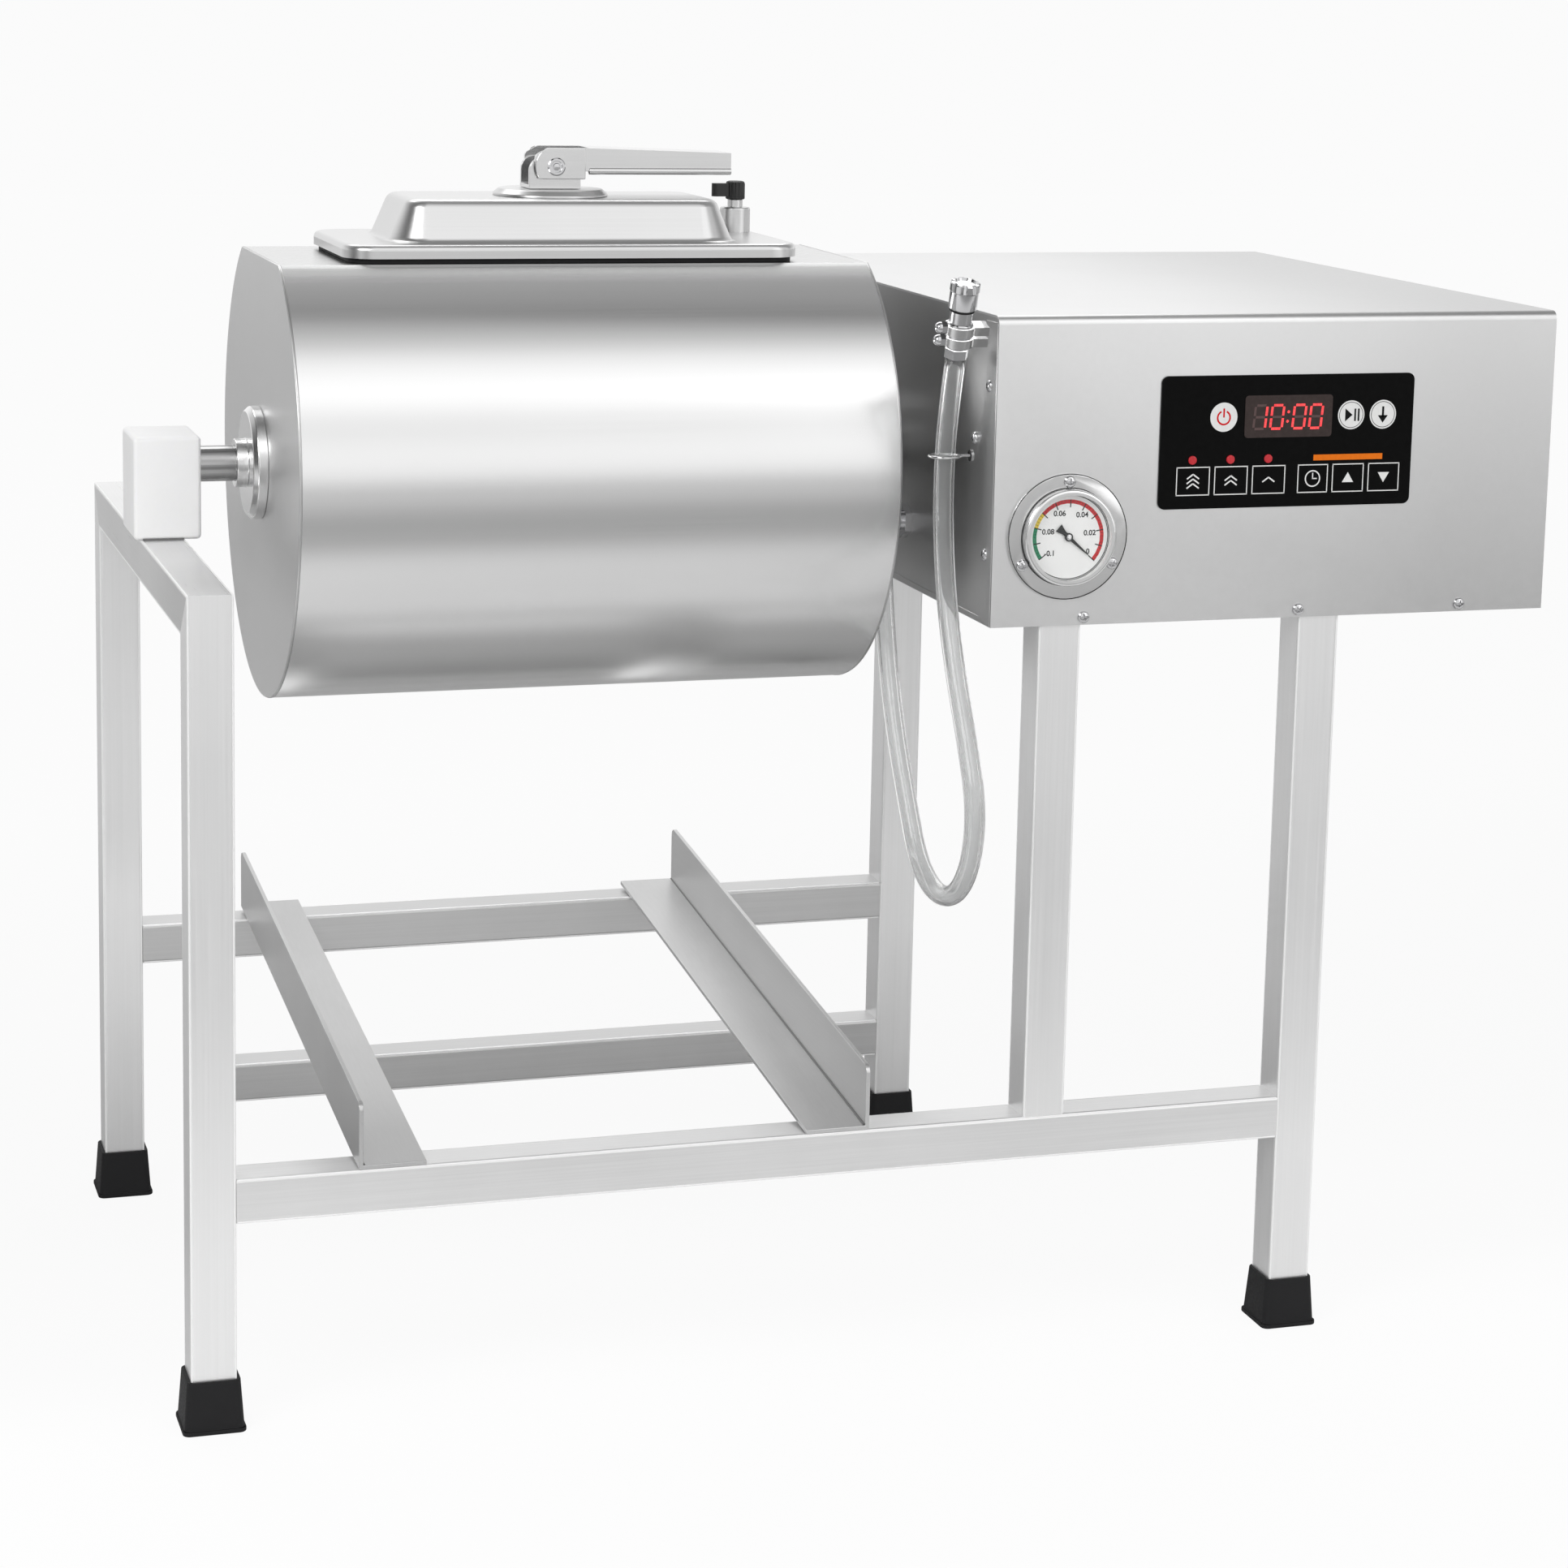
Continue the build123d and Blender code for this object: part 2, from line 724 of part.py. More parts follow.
def rear_panel():
    """The closed back of the box with rows of cooling slots."""
    high = box_top - sheet
    plate = Box(box_width, sheet, high - box_bottom, align=(Align.MIN, Align.MAX, Align.MIN))
    plate = Pos(box_left, box_rear, box_bottom) * plate
    slot = Rot(90, 0, 0) * extrude(SlotOverall(vent_length, vent_height), 2 * sheet, both=True)
    middle = (vent_rows - 1) / 2
    for row in range(vent_rows):
        z = box_bottom + box_height / 2 + (row - middle) * vent_pitch
        for x in (box_left + vent_margin + vent_length / 2, box_right - vent_margin - vent_length / 2):
            plate -= Pos(x, box_rear, z) * slot
    hole = Rot(90, 0, 0) * Cylinder(gland_diameter / 2 - sheet + hole_gap, 4 * sheet)
    return plate - Pos(box_left + gland_place, box_rear, box_bottom + gland_rise) * hole


def base_tray():
    """The bottom sheet that the gearbox bracket and the pump are bolted to."""
    front = box_front + sheet
    plate = Box(box_width, box_rear - sheet - front, sheet, align=(Align.MIN, Align.MIN, Align.MIN))
    return Pos(box_left, front, box_bottom) * plate


def cable_gland():
    """A threaded gland with a domed nut for the mains lead."""
    dome = rod(gland_diameter * 0.8, gland_length / 2)
    dome = fillet(dome.edges().sort_by(Axis.Z)[-1], gland_edge)
    gland = hexagon(gland_diameter, gland_length / 2) + Pos(0, 0, gland_length / 2) * dome
    gland += Pos(0, 0, -3 * sheet) * rod(gland_diameter - 2 * sheet, 3 * sheet)
    gland -= Pos(0, 0, -gland_length) * rod(lead_diameter, 3 * gland_length)
    spot = Plane(origin=(box_left + gland_place, box_rear, box_bottom + gland_rise), z_dir=(0, 1, 0))
    return spot.location * gland


def panel_screws():
    """The pan head screws of the cover, the left panel and the gauge."""
    screws = [on_front(pan_screw(), x, z) for x, z in front_screw_spots()]
    screws += [on_left(pan_screw(), y, z) for y, z in left_screw_places]
    screws += [on_front(pan_screw(), gauge_place + x, gauge_height + z, gauge_flange_sheet)
               for x, z in gauge_screw_spots()]
    return screws


def gauge_case():
    """The gauge's cup behind the panel and the flange that lies on it."""
    flange = rod(gauge_flange, gauge_flange_sheet)
    flange = fillet(flange.edges().sort_by(Axis.Z)[-1], gauge_flange_sheet / 2)
    cup = rod(gauge_case_diameter, gauge_case_depth + gauge_flange_sheet / 2)
    case = flange + Pos(0, 0, -gauge_case_depth) * cup
    inside = rod(gauge_case_diameter - 2 * gauge_case_wall, 2 * gauge_case_depth)
    case -= Pos(0, 0, gauge_case_wall - gauge_case_depth) * inside
    for x, z in gauge_screw_spots():
        case -= Pos(x, z, 0) * screw_hole(2 * gauge_flange_sheet)
    return on_front(case, gauge_place, gauge_height)


def gauge_bezel():
    ring = rod(bezel_diameter, bezel_depth) - rod(bezel_diameter - 2 * bezel_wall, bezel_depth)
    outer = ring.edges().filter_by(GeomType.CIRCLE).group_by(Axis.Z)[-1].sort_by(SortBy.RADIUS)[-1]
    ring = fillet(outer, bezel_wall / 2)
    return on_front(ring, gauge_place, gauge_height, gauge_flange_sheet)


def gauge_dial():
    """The dial plate on the mouth of the cup, with the pin that the needle turns on."""
    disc = rod(bezel_diameter - 2 * bezel_wall, dial_sheet)
    disc += Pos(0, 0, dial_sheet) * rod(needle_hub / 3, 3.4 * needle_sheet)
    return on_front(disc, gauge_place, gauge_height, gauge_flange_sheet)


def gauge_lens():
    disc = rod(bezel_diameter - 2 * bezel_wall, lens_sheet)
    return on_front(disc, gauge_place, gauge_height, gauge_flange_sheet + bezel_depth - 2 * lens_sheet)


def gauge_needle():
    """A pointer with a broad tail, at rest on zero."""
    half = needle_width / 2
    pointer = make_face(Polyline(
        (0, half), (needle_length, 0.3), (needle_length, -0.3), (0, -half),
        (-needle_tail, -1.3 * half), (-needle_tail, 1.3 * half), close=True))
    blade = extrude(pointer + Circle(needle_hub / 2), needle_sheet)
    blade -= Cylinder(needle_hub / 6 + running_gap, 4 * needle_sheet)
    needle = Rot(0, 0, needle_zero) * blade
    return on_front(needle, gauge_place, gauge_height, gauge_flange_sheet + dial_sheet + needle_sheet)


def keypad_panel():
    film = extrude(RectangleRounded(keypad_width, keypad_tall, keypad_corner), keypad_film)
    return on_front(film, keypad_place, keypad_height)


def display_window():
    film = extrude(RectangleRounded(window_width, window_tall, keypad_corner / 2), window_film)
    return on_front(film, keypad_place + window_shift_x, keypad_height + window_shift_z, keypad_film)


def indicator_lamps():
    lamp = rod(lamp_diameter, lamp_height)
    lamp = fillet(lamp.edges().sort_by(Axis.Z)[-1], lamp_height / 2)
    first = keypad_place + lamp_shift_x
    return [on_front(lamp, first + lamp_pitch * index, keypad_height + lamp_shift_z, keypad_film)
            for index in range(lamp_count)]


def control_board():
    """The circuit board on four standoffs behind the keypad."""
    board = extrude(Rectangle(board_width, board_tall), board_sheet)
    post = rod(post_diameter, board_standoff)
    posts = GridLocations(board_width - 2 * post_diameter, board_tall - 2 * post_diameter, 2, 2)
    chip = Box(chip_side, chip_side, chip_height, align=(Align.CENTER, Align.CENTER, Align.MAX))
    back = -sheet - board_standoff
    board = Pos(0, 0, back - board_sheet) * board
    for spot in posts:
        board += Pos(0, 0, back) * spot * post
    for side in (-1, 0, 1):
        board += Pos(side * board_width / 4, 0, back - board_sheet) * chip
    return on_front(board, keypad_place, keypad_height)


def gearbox_start():
    return box_left + sheet + bearing_depth


def drive_bearing():
    """The flanged bearing that carries the drive shaft inside the left panel."""
    flange = RectangleRounded(bearing_side, bearing_side, bearing_side / 5)
    unit = along_axis(box_left + sheet) * extrude(flange, bearing_depth / 2)
    unit += axis_rod(box_left + sheet, gearbox_start(), bearing_side * 0.7)
    return unit - axis_rod(box_left, box_left + 3 * bearing_depth, shaft_diameter + 2 * running_gap)


def gearbox():
    """The worm gearbox with a hollow output that the drive shaft runs in."""
    case = along_axis(gearbox_start()) * extrude(
        RectangleRounded(gearbox_side, gearbox_side, gearbox_side / 8), gearbox_length)
    case = chamfer(case.faces().sort_by(Axis.X)[-1].edges(), gearbox_chamfer)
    bore = axis_rod(box_left, gearbox_start() + 2 * gearbox_length, shaft_diameter + 2 * running_gap)
    return case - bore


def drive_motor():
    """The motor on the end of the gearbox, with cooling ribs and a fan cowl."""
    start = gearbox_start() + gearbox_length
    can = motor_diameter - 2 * motor_rib
    cowl_start = start + motor_length * 0.78
    motor = axis_rod(start, start + motor_spigot, motor_diameter * 0.7)
    motor += axis_rod(start + motor_spigot, start + motor_length, can)
    motor += axis_rod(cowl_start, start + motor_length, motor_diameter)
    rib_length = cowl_start - start - 2 * motor_spigot
    rib = Box(rib_length, motor_rib / 2, motor_rib, align=(Align.MIN, Align.CENTER, Align.MIN))
    for index in range(motor_fins):
        turn = Rot(index * 360 / motor_fins, 0, 0)
        spot = Pos(start + 2 * motor_spigot, axis_depth, axis_height) * turn
        motor += spot * Pos(0, 0, can / 2 - 1) * rib
    return motor


def motor_bracket():
    """A folded bracket that carries the gearbox from the base tray."""
    low = box_bottom + sheet
    top = axis_height - gearbox_side / 2
    plate = Box(gearbox_length, gearbox_side, bracket_sheet, align=(Align.MIN, Align.CENTER, Align.MAX))
    bracket = Pos(gearbox_start(), axis_depth, top) * plate
    leg = Box(gearbox_length, bracket_sheet, top - low, align=(Align.MIN, Align.CENTER, Align.MIN))
    standing = (Align.MIN, Align.CENTER, Align.MIN)
    foot = Box(gearbox_length, 5 * bracket_sheet, bracket_sheet, align=standing)
    for side in (-1, 1):
        offset_y = side * (gearbox_side - bracket_sheet) / 2
        bracket += Pos(gearbox_start(), axis_depth + offset_y, low) * leg
        bracket += Pos(gearbox_start(), axis_depth + offset_y + side * 2 * bracket_sheet, low) * foot
    return bracket


def vacuum_pump():
    """The vacuum pump on its own foot, with a motor can and a finned head."""
    low = box_bottom + sheet
    centre = low + pump_diameter / 2 + 2 * bracket_sheet
    can = Rot(0, 90, 0) * rod(pump_diameter, pump_length * 0.6)
    middle = (Align.MIN, Align.CENTER, Align.CENTER)
    head = Box(pump_length * 0.4, pump_diameter, pump_diameter * 1.1, align=middle)
    head = fillet(head.edges().filter_by(Axis.X), pump_corner)
    pump = can + Pos(pump_length * 0.6, 0, 0) * head
    hanging = (Align.MIN, Align.CENTER, Align.MAX)
    pump += Box(pump_length, pump_diameter * 0.8, centre - low, align=hanging)
    start = box_right - sheet - pump_side_gap - pump_length
    return Pos(start, box_rear - sheet - pump_rear_gap - pump_diameter / 2, centre) * pump


def hose_path():
    """The hose's runs joined by arcs as large as the runs allow."""
    points = [Vector(*point) for point in hose_route]
    radii = []
    for before, here, after in zip(points, points[1:], points[2:]):
        turn = (here - before).get_angle(after - here)
        shorter = min((here - before).length, (after - here).length)
        radii.append(0.45 * shorter / tan(radians(turn) / 2))
    print("hose arc radii", [round(radius) for radius in radii])
    return FilletPolyline(*points, radius=radii)


def vacuum_hose():
    path = hose_path()
    start = Plane(origin=path @ 0, z_dir=path % 0)
    hose = sweep(start * Circle(hose_diameter / 2), path)
    expected = pi * (hose_diameter / 2) ** 2 * path.length
    print("hose length", round(path.length, 1), "volume share", round(hose.volume / expected, 4))
    return hose


def nozzle_frame():
    """A frame at the hose's upper end with its Z up along the nozzle."""
    first = Vector(*hose_route[0])
    second = Vector(*hose_route[1])
    return Plane(origin=first, x_dir=(1, 0, 0), z_dir=first - second)


def nozzle_body():
    """The nut, the body and the collar that the hose is pushed on."""
    body = hexagon(nut_diameter, nut_length)
    body += Pos(0, 0, nut_length) * rod(nozzle_diameter, nozzle_length)
    body += Pos(0, 0, nut_length + nozzle_length) * rod(collar_diameter, collar_length)
    return nozzle_frame().location * body


def nozzle_cap():
    """The knurled sleeve at the tip that snaps on the lid's valve."""
    cap = rod(cap_diameter, cap_length)
    cap = chamfer(cap.edges().filter_by(GeomType.CIRCLE), cap_chamfer)
    cap -= Pos(0, 0, cap_length / 2) * rod(cap_diameter * 0.55, cap_length)
    return nozzle_frame().location * Pos(0, 0, nut_length + nozzle_length + collar_length) * cap


def spring_strip(radius, height):
    """An open ring of strip round the Z axis, with its mouth away from the box."""
    ring = Circle(radius + clip_strip) - Circle(radius)
    reach = 4 * radius
    rise = reach * tan(radians(clip_mouth / 2))
    mouth = make_face(Polyline((0, 0), (-reach, -rise), (-reach, rise), close=True))
    return extrude(ring - mouth, height)


def nozzle_clips():
    """The two spring clips of the nozzle."""
    radius = nozzle_diameter / 2 + hole_gap
    reach = hose_standoff - radius
    clips = []
    for rise in (nut_length + clip_margin, nut_length + nozzle_length - clip_height - clip_margin):
        strip = spring_strip(radius, clip_height)
        arm = Box(reach, 2 * clip_height, clip_height, align=(Align.MAX, Align.CENTER, Align.MIN))
        arm = Pos(radius + reach, 0, 0) * arm
        arm -= rod(2 * radius, clip_height)
        clips.append(nozzle_frame().location * Pos(0, 0, rise) * (strip + arm))
    return clips


def hose_guide():
    """A wire ring round the hose on a stem from the left panel."""
    centre = Vector(hose_x, hose_route[1][1] + guide_shift, hose_route[2][2] + guide_lift)
    radius = hose_diameter / 2 + guide_gap
    ring = Torus(radius + guide_wire / 2, guide_wire / 2)
    stem = Rot(0, 90, 0) * rod(guide_wire, hose_standoff - radius)
    stem = Pos(radius, 0, 0) * stem
    foot = Pos(hose_standoff, 0, 0) * Rot(0, -90, 0) * rod(4 * guide_wire, guide_wire)
    return Pos(*centre) * (ring + stem + foot)


def hose_holders():
    """What holds the hose on the left panel: two spring clips and a wire guide."""
    return nozzle_clips() + [hose_guide()]


def hose_elbow():
    """The elbow on the left panel that the hose's other end is pushed in."""
    last = Vector(*hose_route[-1])
    before = Vector(*hose_route[-2])
    down = Plane(origin=last, x_dir=(1, 0, 0), z_dir=last - before)
    neck = down.location * rod(elbow_neck, elbow_neck)
    ball = down.location * Pos(0, 0, elbow_neck) * Sphere(elbow_neck / 2)
    centre = (down.location * Pos(0, 0, elbow_neck)).position
    arm = Pos(*centre) * Rot(0, 90, 0) * rod(elbow_neck, hose_standoff)
    foot = Rot(0, -90, 0) * hexagon(elbow_foot, elbow_foot_height)
    foot = Pos(box_left, centre.Y, centre.Z) * foot
    return neck + ball + arm + foot


def save(name, shape):
    solids = shape if isinstance(shape, list) else [shape]
    solids = [solid for item in solids for solid in item.solids()]
    whole = solids[0] if len(solids) == 1 else Compound(children=solids)
    export_step(whole, "parts/" + name + ".step")


def main():
    os.makedirs("parts", exist_ok=True)
    rear = frame_width - tube
    save("front_left_leg", portal_leg(0, 0, 1))
    save("rear_left_leg", portal_leg(rear, frame_width, -1))
    save("portal_beam", portal_beam())
    save("front_rail", rail(tube, 0, front_rail_height, right_leg_place - tube))
    save("rear_upper_rail", rail(tube, rear, rear_upper_rail_height, rear_leg_place - tube))
    hanger_end = hanger_place + tube
    save("rear_lower_rail", rail(hanger_end, rear, rear_lower_rail_height, rear_leg_place - hanger_end))
    hanger_low = rear_lower_rail_height - tube
    save("rear_rail_hanger", upright(hanger_place, rear, hanger_low, rear_upper_rail_height - tube))
    save("right_front_leg", upright(right_leg_place, 0, foot_sole, box_bottom))
    save("front_post", upright(front_post_place, 0, front_rail_height, box_bottom))
    save("rear_right_leg", upright(rear_leg_place, rear, foot_sole, rear_upper_rail_height))
    save("rear_post", upright(rear_leg_place, rear, rear_upper_rail_height, box_bottom))
    save("rubber_feet", rubber_feet())
    save("left_tray_angle", tray_angle(left_angle_place, 1))
    save("right_tray_angle", tray_angle(right_angle_place, -1))
    save("bearing_block", bearing_block())
    save("block_bolts", block_bolts())
    save("box_cover", box_cover())
    save("box_left_panel", left_panel())
    save("box_right_panel", right_panel())
    save("box_rear_panel", rear_panel())
    save("box_base_tray", base_tray())
    save("panel_screws", panel_screws())
    save("cable_gland", cable_gland())
    save("keypad_panel", keypad_panel())
    save("display_window", display_window())
    save("indicator_lamps", indicator_lamps())
    save("control_board", control_board())
    save("gauge_case", gauge_case())
    save("gauge_bezel", gauge_bezel())
    save("gauge_lens", gauge_lens())
    save("gauge_dial", gauge_dial())
    save("gauge_needle", gauge_needle())
    save("drive_bearing", drive_bearing())
    save("gearbox", gearbox())
    save("drive_motor", drive_motor())
    save("motor_bracket", motor_bracket())
    save("vacuum_pump", vacuum_pump())
    save("hose_holders", hose_holders())
    save("hose_elbow", hose_elbow())
    save("vacuum_hose", vacuum_hose())
    save("nozzle_body", nozzle_body())
    save("nozzle_cap", nozzle_cap())
    save("drum_shell", drum_wall_part(False))
    save("drum_flat", drum_flat())
    save("drum_left_end", drum_end_plate(drum_start))
    save("drum_right_end", drum_end_plate(drum_end - drum_wall))
    save("opening_collar", opening_collar())
    save("drum_baffles", drum_baffles())
    save("hub_flanges", [hub_flange(drum_start, -1), hub_flange(drum_end, 1)])
    save("stub_shaft", stub_shaft())
    save("drive_shaft", drive_shaft())
    save("lid_shell", lid_shell())
    save("lid_gasket", lid_gasket())
    save("clamp_disc", clamp_disc())
    save("valve_body", valve_body())
    save("valve_knob", valve_knob())
    save("clamp_fork", clamp_fork())
    save("clamp_bar", clamp_bar())
    save("clamp_lever", clamp_lever())
    save("lever_pin", lever_pin())


main()
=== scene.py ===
# %% [markdown]
# # Meat vacuum tumbler
# A steel drum with a clamped lid hangs between a plastic bearing block on a stand of square tube
# and a gear motor in a sheet steel box. The solid model comes in as a fixed frame, in metres, with
# +X from the block to the box, +Y from the front to the rear and +Z up. This lesson gives it its
# finishes, its clear hose, its printed dial and keypad, and the small things that metalwork shows.

# %% Load the solid model
import bpy
import bmesh
from math import asin, atan2, cos, pi, radians, sin
from mathutils import Matrix, Vector


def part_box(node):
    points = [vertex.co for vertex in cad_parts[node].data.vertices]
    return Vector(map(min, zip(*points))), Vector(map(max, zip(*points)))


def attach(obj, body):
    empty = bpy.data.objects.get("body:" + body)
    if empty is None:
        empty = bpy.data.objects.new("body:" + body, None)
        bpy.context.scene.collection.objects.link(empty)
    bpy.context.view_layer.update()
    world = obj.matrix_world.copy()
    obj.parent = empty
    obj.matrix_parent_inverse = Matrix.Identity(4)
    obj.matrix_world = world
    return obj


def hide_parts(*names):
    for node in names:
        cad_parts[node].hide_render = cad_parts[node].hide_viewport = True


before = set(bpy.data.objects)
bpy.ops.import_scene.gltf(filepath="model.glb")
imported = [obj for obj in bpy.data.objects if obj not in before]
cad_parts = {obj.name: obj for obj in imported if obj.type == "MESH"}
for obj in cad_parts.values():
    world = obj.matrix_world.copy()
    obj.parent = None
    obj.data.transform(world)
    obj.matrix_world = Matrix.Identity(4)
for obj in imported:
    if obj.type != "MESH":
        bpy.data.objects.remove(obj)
scene = bpy.context.scene
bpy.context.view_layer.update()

# %% [markdown]
# ## Camera
# The stand's straight tubes give the viewpoint: it is in front, to the left of the machine and a
# little above the lid. A long lens with a small vertical shift keeps the uprights almost parallel.
# Three unit vectors, for right, up and forward, are easier to check than three angles.

# %% Camera
VIEWPOINT = Vector((-0.3068, -2.2275, 0.9542))
YAW, PITCH, ROLL = radians(17.404), radians(9.278), radians(1.210)
forward = Vector((sin(YAW) * cos(PITCH), cos(YAW) * cos(PITCH), -sin(PITCH)))
right = Vector((cos(YAW), -sin(YAW), 0.0))
up = right.cross(forward)
tilted_right = right * cos(ROLL) + up * sin(ROLL)
tilted_up = up * cos(ROLL) - right * sin(ROLL)

camera_data = bpy.data.cameras.new("camera")
camera_data.sensor_width = 36.0
camera_data.lens = 82.62
camera_data.shift_y = -0.15
camera_data.clip_start = 0.05
camera_data.clip_end = 60.0
camera = bpy.data.objects.new("camera", camera_data)
turn = Matrix((tilted_right, tilted_up, -forward)).transposed().to_4x4()
camera.matrix_world = Matrix.Translation(VIEWPOINT) @ turn
scene.collection.objects.link(camera)
scene.camera = camera
print("camera at", [round(value, 3) for value in VIEWPOINT])

# %% [markdown]
# ## Small helpers
# Every new piece is linked to the scene, gets a material and says which body carries it. One
# function does that for all of them.

# %% Helper: finish a piece
def place(piece, body, material, stands_for=()):
    if piece.name not in scene.collection.objects:
        scene.collection.objects.link(piece)
    piece.data.materials.clear()
    piece.data.materials.append(material)
    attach(piece, body)
    if stands_for:
        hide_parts(*stands_for)
    return piece

# %% [markdown]
# A solid that looks right only changes its finish. A new piece is drawn in a bmesh, face by face.
# Faces that meet at a small angle are shaded as one smooth surface, and sharper edges stay crisp.

# %% Helpers: paint a solid, and make a piece from a bmesh
def paint(node, material):
    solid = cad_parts[node]
    solid.data.materials.clear()
    solid.data.materials.append(material)


def from_bmesh(name, work, smooth_angle=35.0, closed=True):
    if closed:
        bmesh.ops.recalc_face_normals(work, faces=work.faces)
    limit = radians(smooth_angle)
    for face in work.faces:
        face.smooth = True
    for edge in work.edges:
        if len(edge.link_faces) == 2:
            edge.smooth = edge.calc_face_angle(0.0) < limit
    mesh = bpy.data.meshes.new(name)
    work.to_mesh(mesh)
    work.free()
    return bpy.data.objects.new(name, mesh)

# %% [markdown]
# ## Node materials
# Metal finishes differ mostly in how the grain runs and how rough it is. The grain is a noise
# texture stretched along one direction: a small scale along the grain and a large one across it.
# It drives the roughness a little, the colour a very little, and a fine bump.

# %% Helper: an empty node material
def new_material(name):
    material = bpy.data.materials.new(name)
    material.use_nodes = True
    tree = material.node_tree
    return material, tree.nodes, tree.links, tree.nodes["Principled BSDF"]

# %% [markdown]
# The noise is stretched by scaling the piece's coordinates before they reach it. Three more helpers
# turn its value into a range, a colour or a bump.

# %% Helper: stretched noise
def grain_noise(nodes, links, scale, detail=5.0, softness=0.6):
    where = nodes.new("ShaderNodeTexCoord")
    stretch = nodes.new("ShaderNodeMapping")
    stretch.inputs["Scale"].default_value = scale
    links.new(where.outputs["Object"], stretch.inputs["Vector"])
    noise = nodes.new("ShaderNodeTexNoise")
    noise.inputs["Scale"].default_value = 1.0
    noise.inputs["Detail"].default_value = detail
    noise.inputs["Roughness"].default_value = softness
    links.new(stretch.outputs["Vector"], noise.inputs["Vector"])
    return noise.outputs["Fac"]

# %% Helpers: from a noise to a range, a colour or a bump
FACTOR, COLOUR_A, COLOUR_B, MIXED = 0, 6, 7, 2  # a Mix node's colour sockets go by number


def spread(nodes, links, value, low, high):
    """Maps the middle of a noise to the range from low to high."""
    span = nodes.new("ShaderNodeMapRange")
    span.inputs["From Min"].default_value = 0.3
    span.inputs["From Max"].default_value = 0.7
    span.inputs["To Min"].default_value = low
    span.inputs["To Max"].default_value = high
    links.new(value, span.inputs["Value"])
    return span.outputs["Result"]


def tint(nodes, links, value, dark, light):
    """Blends two colours by a value from 0 to 1."""
    mix = nodes.new("ShaderNodeMix")
    mix.data_type = "RGBA"
    mix.inputs[COLOUR_A].default_value = (*dark, 1.0)
    mix.inputs[COLOUR_B].default_value = (*light, 1.0)
    links.new(value, mix.inputs[FACTOR])
    return mix.outputs[MIXED]


def bump(nodes, links, shader, value, strength, distance):
    relief = nodes.new("ShaderNodeBump")
    relief.inputs["Strength"].default_value = strength
    relief.inputs["Distance"].default_value = distance
    links.new(value, relief.inputs["Height"])
    links.new(relief.outputs["Normal"], shader.inputs["Normal"])

# %% [markdown]
# Tube and sheet leave the mill with a grain along their length, which draws every highlight out
# across it. Unlike an image, noise stays sharp at any distance. Its numbers are repeats per metre.
# Some faces have shade painted into their colour towards one side, as beside a dark card; the
# helper below paints that, and with a level above 1 it paints light instead.

# %% Brushed steel
FINE, LONG, EVEN, BROAD = 620.0, 5.0, 240.0, 9.0
GRAINS = {"x": (LONG, FINE, FINE), "y": (FINE, LONG, FINE), "z": (FINE, FINE, LONG),
          "even": (EVEN, EVEN, EVEN)}
GRAIN_DEPTH = 0.0002


def steel(name, grain, brightness, rough, cloud=0.03, relief=0.03, metallic=1.0, scatter=0.03):
    """Ground stainless steel: its grain runs along one axis, or is even for dull rolled sheet."""
    material, nodes, links, shader = new_material(name)
    shader.inputs["Metallic"].default_value = metallic
    fine = grain_noise(nodes, links, GRAINS[grain], detail=3.0)
    links.new(spread(nodes, links, fine, rough - scatter, rough + scatter),
              shader.inputs["Roughness"])
    broad = grain_noise(nodes, links, (BROAD, BROAD, BROAD), detail=2.0)
    blend = nodes.new("ShaderNodeMath")
    blend.operation = "ADD"
    links.new(spread(nodes, links, fine, 0.0, 0.5), blend.inputs[0])
    links.new(spread(nodes, links, broad, 0.0, 0.5), blend.inputs[1])
    dark = [brightness * (1 - cloud)] * 3
    light = [brightness * (1 + cloud)] * 3
    links.new(tint(nodes, links, blend.outputs[0], dark, light), shader.inputs["Base Color"])
    bump(nodes, links, shader, fine, relief, GRAIN_DEPTH)
    return material

# %% Helper: painted shade towards one side of a finish
def paint_shading(material, axis, start, end, level):
    """Paints shade from start to end along an axis, down to level; a level above 1 paints light."""
    nodes, links = material.node_tree.nodes, material.node_tree.links
    colour = nodes["Principled BSDF"].inputs["Base Color"]
    where = nodes.new("ShaderNodeTexCoord")
    axes = nodes.new("ShaderNodeSeparateXYZ")
    links.new(where.outputs["Object"], axes.inputs["Vector"])
    span = nodes.new("ShaderNodeMapRange")
    span.interpolation_type = "SMOOTHSTEP"
    span.inputs["From Min"].default_value = start
    span.inputs["From Max"].default_value = end
    span.inputs["To Min"].default_value = 1.0
    span.inputs["To Max"].default_value = level
    links.new(axes.outputs[axis], span.inputs["Value"])
    painted_shade_mix = nodes.new("ShaderNodeMix")
    painted_shade_mix.data_type = "RGBA"
    painted_shade_mix.blend_type = "MULTIPLY"
    painted_shade_mix.inputs[FACTOR].default_value = 1.0
    links.new(colour.links[0].from_socket, painted_shade_mix.inputs[COLOUR_A])
    links.new(span.outputs["Result"], painted_shade_mix.inputs[COLOUR_B])
    links.new(painted_shade_mix.outputs[MIXED], colour)

# %% [markdown]
# Rubber, ink, plastic, enamel and castings have no grain, only a fine even speckle. One helper
# makes them all, so a matt housing and a glossy lens differ only in numbers.

# %% Plain finishes
SPECKLE_DEPTH = 0.0003


